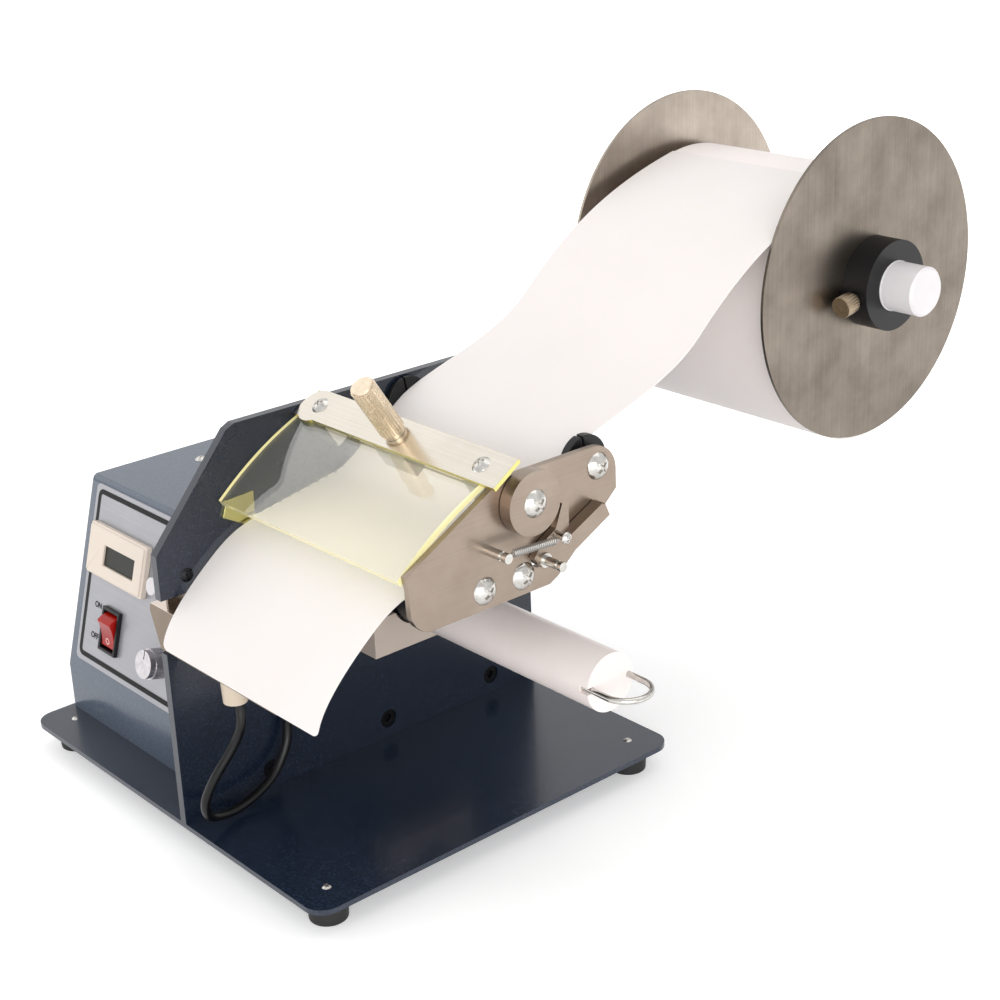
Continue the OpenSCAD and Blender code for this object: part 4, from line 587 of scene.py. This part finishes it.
# %% Folds of the control box
FOLD_R = 2.6
WIDE_FACE = 0.0009  # square metres
LEAST_TURN = 20  # degrees
box_sheet = copy_of("control_box")
wide = {face.index for face in box_sheet.data.polygons if face.area > WIDE_FACE}
beside = {}
for face in box_sheet.data.polygons:
    for key in face.edge_keys:
        beside.setdefault(key, []).append(face)
folds = []
for edge in box_sheet.data.edges:
    pair = beside.get(edge.key, [])
    if len(pair) != 2 or not all(face.index in wide for face in pair):
        continue
    one, other = pair
    outward = one.normal.dot(other.center - one.center) < 0
    if outward and one.normal.angle(other.normal) > math.radians(LEAST_TURN):
        folds.append(edge.index)
print("folds found:", len(folds))
bpy.ops.object.mode_set(mode="EDIT")
bpy.ops.mesh.select_mode(type="EDGE")
bpy.ops.mesh.select_all(action="DESELECT")
bpy.ops.object.mode_set(mode="OBJECT")
for index in folds:
    box_sheet.data.edges[index].select = True
bpy.ops.object.mode_set(mode="EDIT")
bpy.ops.mesh.bevel(offset=FOLD_R / 1000, segments=5, affect="EDGES")
bpy.ops.mesh.select_mode(type="VERT")
bpy.ops.object.mode_set(mode="OBJECT")
stands_for(box_sheet, "control_box")

# %% [markdown]
# The web of labels leaves the top of the roll, sags a little, runs over the guide rod and down on to
# the bed, and curls over the front edge under its own weight. The way is made of Bezier curves, whose
# handles are set by the web's heading in degrees and by a share of the span from the roll to the sag.
# A grid is then bent row by row along the way, so that the sheet keeps its true length. The last two
# corners are rounded by pulling the rows in near the sides, and Solidify gives the paper its thickness.

# %% Curves and headings


def bezier(a, b, c, d, steps):
    """Points from a towards d, on a curve that b and c pull at."""
    line = []
    for i in range(steps):
        t = i / steps
        u = 1 - t
        line.append(a * u ** 3 + b * 3 * u * u * t + c * 3 * u * t * t + d * t ** 3)
    return line


def heading(degrees):
    return Vector((math.cos(math.radians(degrees)), math.sin(math.radians(degrees))))


# %% The way of the web, in the Y and Z of the source
# The guide rod, the two ends of the bed and the web's foot in millimetres, then the headings in degrees.
ROD_Y, ROD_Z, ROD_R = 133.5, 161.6, 4.95
BED_BACK_Y, BED_FRONT_Y, BED_FRONT_Z, BED_TILT = 93.3, 50, 131.2, 10.2
FOOT_Y, FOOT_Z = -3, 87
OFF_THE_ROLL, AT_THE_SAG, OVER_THE_ROD, ON_TO_THE_BED = 193, 42, 27, 20
SAG_SHARES = (0.43, 0.385)
CURL = [(0.208, 0.023), (0.358, 0.138), (0.49, 0.265), (0.717, 0.477), (0.983, 0.774)]


def bed_line(y):
    return BED_FRONT_Z + (y - BED_FRONT_Y) * math.tan(math.radians(BED_TILT))


def partway(a, b, shares):
    """A point between a and b, with a share of the way for each of the two directions."""
    return a + Vector(((b - a).x * shares[0], (b - a).y * shares[1]))


def handle(point, share, degrees):
    return point + share * span * heading(degrees)


roll_point = Vector((ROLL_Y, ROLL_Z)) + ROLL_R * heading(OFF_THE_ROLL - 90)
rod_point = Vector((ROD_Y, ROD_Z)) + ROD_R * heading(OVER_THE_ROD + 90)
bed_point = Vector((BED_BACK_Y, bed_line(BED_BACK_Y)))
peel_point = Vector((BED_FRONT_Y, BED_FRONT_Z))
foot_point = Vector((FOOT_Y, FOOT_Z))
sag_point = partway(rod_point, roll_point, SAG_SHARES)
span = (roll_point - sag_point).length
curl = [partway(peel_point, foot_point, shares) for shares in CURL]
way = bezier(roll_point, handle(roll_point, 0.44, OFF_THE_ROLL), handle(sag_point, 0.32, AT_THE_SAG),
             sag_point, 24)
way += bezier(sag_point, handle(sag_point, -0.24, AT_THE_SAG), handle(rod_point, 0.18, OVER_THE_ROD),
              rod_point, 24)
way += bezier(rod_point, handle(rod_point, -0.12, OVER_THE_ROD), handle(bed_point, 0.12, ON_TO_THE_BED),
              bed_point, 16)
way += [bed_point + (peel_point - bed_point) * i / 8 for i in range(8)]
way += bezier(peel_point, curl[0], curl[1], curl[2], 16)
way += bezier(curl[2], curl[3], curl[4], foot_point, 16) + [foot_point]
steps = [(b - a).length for a, b in zip(way, way[1:])]
web_length = sum(steps)
print("length of the web from roll to foot, in mm:", round(web_length, 1))

# %% Along the way, and a sheet's thickness


def on_way(distance):
    """The point that lies this far along the way, in millimetres from the roll."""
    for i, step in enumerate(steps):
        if distance <= step or i == len(steps) - 1:
            return way[i].lerp(way[i + 1], min(1, distance / step))
        distance -= step


def thicken(piece, thick_mm, side):
    """Gives a sheet its thickness, evenly where side is 0 and outwards where it is 1."""
    layer = piece.modifiers.new("thickness", "SOLIDIFY")
    layer.thickness = thick_mm / 1000
    layer.offset = side
    bpy.ops.object.modifier_apply(modifier=layer.name)


# %% Web of labels
WEB_LEFT, WEB_WIDTH, WEB_T, CORNER = 140.6, 108.7, 0.3, 3.0
ROWS, PLAIN_COLUMNS = 150, 14
near_side = [0, 0.2, 0.5, 1, 1.6, 2.3, CORNER]
plain = [CORNER + (WEB_WIDTH - 2 * CORNER) * i / PLAIN_COLUMNS for i in range(1, PLAIN_COLUMNS)]
columns = near_side + plain + [WEB_WIDTH - x for x in reversed(near_side)]
deselect()
bpy.ops.mesh.primitive_grid_add(x_subdivisions=len(columns) - 1, y_subdivisions=ROWS, size=2)
web = bpy.context.active_object
web.name = "web_of_labels"
for vertex in web.data.vertices:
    across = round((vertex.co.x + 1) / 2 * (len(columns) - 1))
    row = round((1 - vertex.co.y) / 2 * ROWS)
    from_side = min(columns[across], WEB_WIDTH - columns[across], CORNER)
    pulled_in = CORNER - math.sqrt(CORNER ** 2 - (CORNER - from_side) ** 2)
    spot = on_way((web_length - pulled_in) * row / ROWS)
    vertex.co = place(WEB_LEFT + columns[across], spot.x, spot.y)
choose(web)
thicken(web, WEB_T, 0)
bpy.ops.object.shade_smooth_by_angle(angle=math.radians(40))
web.data.materials.append(web_paper)
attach(web, "frame")
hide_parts("label_web")
print("the web has", len(web.data.polygons), "faces, in", len(columns), "columns and", ROWS, "rows")

# %% [markdown]
# The panel leans back by 15.45 degrees. What is printed on it is laid out flat, in millimetres from
# the panel's lower left corner, and one matrix carries it on to the slope. The printing is a black
# frame line and the two words at the switch.

# %% Panel places
LEAN = math.radians(15.45)
SIN, COS = math.sin(LEAN), math.cos(LEAN)
PANEL_Y, PANEL_Z = 21.6, 23.1  # the lower edge of the sheet that carries the panel
PRINT_H = 0.85  # just above the panel's plate, which is 0.8 mm thick


def on_panel(x, s, h):
    """The matrix that lays something flat at x, s on the panel, h above its sheet, all in millimetres."""
    foot = place(x, PANEL_Y + s * SIN - h * COS, PANEL_Z + s * COS + h * SIN)
    return Matrix.Translation(foot) @ Matrix.Rotation(math.radians(90) - LEAN, 4, "X")


print("the panel's lower left corner, in metres:", tuple(round(c, 4) for c in on_panel(0, 0, 0).translation))

# %% Printing ink
INK_T = 0.06
ink = moulded("black_printing_ink", "#060607", "#0e0e10", 0.4, 0.55, Specular_IOR_Level=0.25)
printed = []


def to_outline(flat, line_mm, thick_mm, side, corner_mm=0):
    """Leaves only a line along the rim of a flat face, which may get round corners first."""
    bpy.ops.object.mode_set(mode="EDIT")
    bpy.ops.mesh.select_all(action="SELECT")
    if corner_mm:
        bpy.ops.mesh.bevel(offset=corner_mm / 1000, segments=6, affect="VERTICES")
    bpy.ops.mesh.inset(thickness=line_mm / 1000)
    bpy.ops.mesh.delete(type="FACE")
    bpy.ops.object.mode_set(mode="OBJECT")
    thicken(flat, thick_mm, side)


def print_on_panel(piece, x, s):
    """Moves a flat piece on to the panel and keeps it with the rest of the printing."""
    choose(piece)
    bpy.context.view_layer.update()
    piece.matrix_world = on_panel(x, s, PRINT_H) @ piece.matrix_world
    bpy.ops.object.transform_apply(location=True, rotation=True, scale=True)
    piece.data.materials.clear()
    piece.data.materials.append(ink)
    printed.append(piece)


# %% Frame line
FRAME_LEFT, FRAME_LOW, FRAME_WIDE, FRAME_HIGH = 11, 8.4, 116.6, 82.4
FRAME_CORNER, FRAME_LINE = 3.8, 2.4
deselect()
bpy.ops.mesh.primitive_plane_add(size=1)
line = bpy.context.active_object
line.scale = (FRAME_WIDE / 1000, FRAME_HIGH / 1000, 1)
bpy.ops.object.transform_apply(scale=True)
to_outline(line, FRAME_LINE, INK_T, 1, FRAME_CORNER)
print_on_panel(line, FRAME_LEFT + FRAME_WIDE / 2, FRAME_LOW + FRAME_HIGH / 2)
print("the frame line has", len(line.data.polygons), "faces")

# %% The two words at the switch
WORD_SIZE, WORD_SWELL = 3.8, 0.13


def write(word, x, s):
    deselect()
    bpy.ops.object.text_add()
    text = bpy.context.active_object
    text.data.body = word
    text.data.size = WORD_SIZE / 1000
    text.data.align_x = "CENTER"
    text.data.align_y = "CENTER"
    text.data.extrude = INK_T / 2000
    text.data.offset = WORD_SWELL / 1000
    bpy.ops.object.convert(target="MESH")
    print_on_panel(bpy.context.active_object, x, s)


write("ON", 23.1, 36.0)
write("OFF", 23.2, 20.8)

# %% One piece of printing
deselect()
for piece in printed:
    piece.select_set(True)
bpy.context.view_layer.objects.active = printed[0]
bpy.ops.object.join()
panel_print = bpy.context.active_object
panel_print.name = "panel_printing"
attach(panel_print, "frame")
print("triangles in the panel's printing:", sum(len(p.vertices) - 2 for p in panel_print.data.polygons))

# %% [markdown]
# The rocker's lower half carries a small pale ring. The switch is a solid of the fixed model, so the
# ring's place is found on it: a ray is sent down on the rocker, and where it lands, with the way that
# the surface faces there, the ring is laid. It starts as a flat disc, whose middle is inset and
# deleted, and Solidify gives what is left a thickness.

# %% Ring on the rocker
RING_R, RING_LINE, RING_T, RING_LIFT = 1.6, 0.5, 0.12, 0.04
RING_X, RING_S, RAY_FROM = 37.5, 22.6, 20
down = on_panel(0, 0, 0).to_3x3() @ Vector((0, 0, -1))
above = on_panel(RING_X, RING_S, RAY_FROM).translation
bpy.context.view_layer.update()
hit, spot, faces_to = bpy.data.objects["rocker_rounded"].ray_cast(above, down)[:3]
print("the ray met the rocker:", hit, "at", tuple(round(c, 4) for c in spot))
deselect()
bpy.ops.mesh.primitive_circle_add(vertices=40, radius=RING_R / 1000, fill_type="NGON")
ring = bpy.context.active_object
ring.name = "rocker_ring"
to_outline(ring, RING_LINE, RING_T, 0)
lie = faces_to.to_track_quat("Z", "Y").to_matrix().to_4x4()
ring.matrix_world = Matrix.Translation(spot + faces_to * RING_LIFT / 1000) @ lie
bpy.ops.object.transform_apply(location=True, rotation=True, scale=True)
ring.data.materials.append(moulded("pale_ring_ink", "#e9b9b4", "#f5cfca", 0.4, 0.35))
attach(ring, "switch_rocker")

# %% [markdown]
# A product is photographed on a plain pale ground that runs up behind it, under large soft lamps. The
# floor here is matt, so it keeps a soft shadow, and it glows a little more the farther it is from the
# machine, but only for what looks at it: the camera, a reflection or a clear sheet. The world does
# the same, so the ground is white without more light on the machine.

# %% Floor
FLOOR_WIDE = 30
deselect()
bpy.ops.mesh.primitive_plane_add(size=FLOOR_WIDE)
floor = bpy.context.active_object
floor.name = "floor"


def looked_at(tree):
    """One for a ray that looks: from the camera, from a reflection or through a clear sheet."""
    path = add(tree, "ShaderNodeLightPath").outputs
    seen = maths(tree, "MAXIMUM", path["Is Camera Ray"], path["Is Glossy Ray"])
    return maths(tree, "MAXIMUM", seen, path["Is Transmission Ray"])


white_floor, tree, shader, where = start("matt_white_floor", Roughness=0.95, Specular_IOR_Level=0.0,
                                         Base_Color=colour("#f2f2f2"), Emission_Color=(1, 1, 1, 1))
away = add(tree, "ShaderNodeVectorMath", {0: where}, operation="LENGTH").outputs["Value"]
share = spread(tree, away, From_Min=0.15, From_Max=0.9, To_Min=0.3)
feed(tree, shader, Emission_Strength=maths(tree, "MULTIPLY", share, looked_at(tree)))
floor.data.materials.append(white_floor)
print("the floor is", FLOOR_WIDE, "m wide")

# %% World
WORLD_LIGHT = 0.77
world = bpy.data.worlds.new("studio")
bpy.context.scene.world = world
world.use_nodes = True
tree = world.node_tree
tree.nodes.clear()
strength = spread(tree, looked_at(tree), To_Min=WORLD_LIGHT)
sky = add(tree, "ShaderNodeBackground", {"Color": (1, 1, 1, 1), "Strength": strength})
add(tree, "ShaderNodeOutputWorld", {"Surface": sky.outputs["Background"]})
print("the world lights the machine with", WORLD_LIGHT, "of the white that it shows")

# %% Lamps
LAMP_SHAPE = 0.7  # a lamp's height as a share of its width


def lamp(name, spot, aim, width, watts):
    """A soft lamp at a spot that faces an aim, both in metres."""
    light = bpy.data.lights.new(name, "AREA")
    light.shape = "RECTANGLE"
    light.size = width
    light.size_y = width * LAMP_SHAPE
    light.energy = watts
    held = bpy.data.objects.new(name, light)
    held.location = spot
    held.rotation_euler = (Vector(aim) - Vector(spot)).to_track_quat("-Z", "Y").to_euler()
    bpy.context.collection.objects.link(held)
    print(name, "of", watts, "W,", width, "m wide")


lamp("key_softbox", (-1.3, -0.7, 1.1), (0, 0, 0.1), 1.7, 3.6)
lamp("fill_softbox", (1.3, -0.9, 0.35), (0, 0, 0.12), 1.4, 14.5)
lamp("top_softbox", (0.1, 0.5, 1.7), (0, 0.05, 0.1), 1.8, 5.5)

# %% [markdown]
# The colours are shown as they are written, with the Standard view.

# %% Finish
bpy.context.scene.view_settings.view_transform = "Standard"
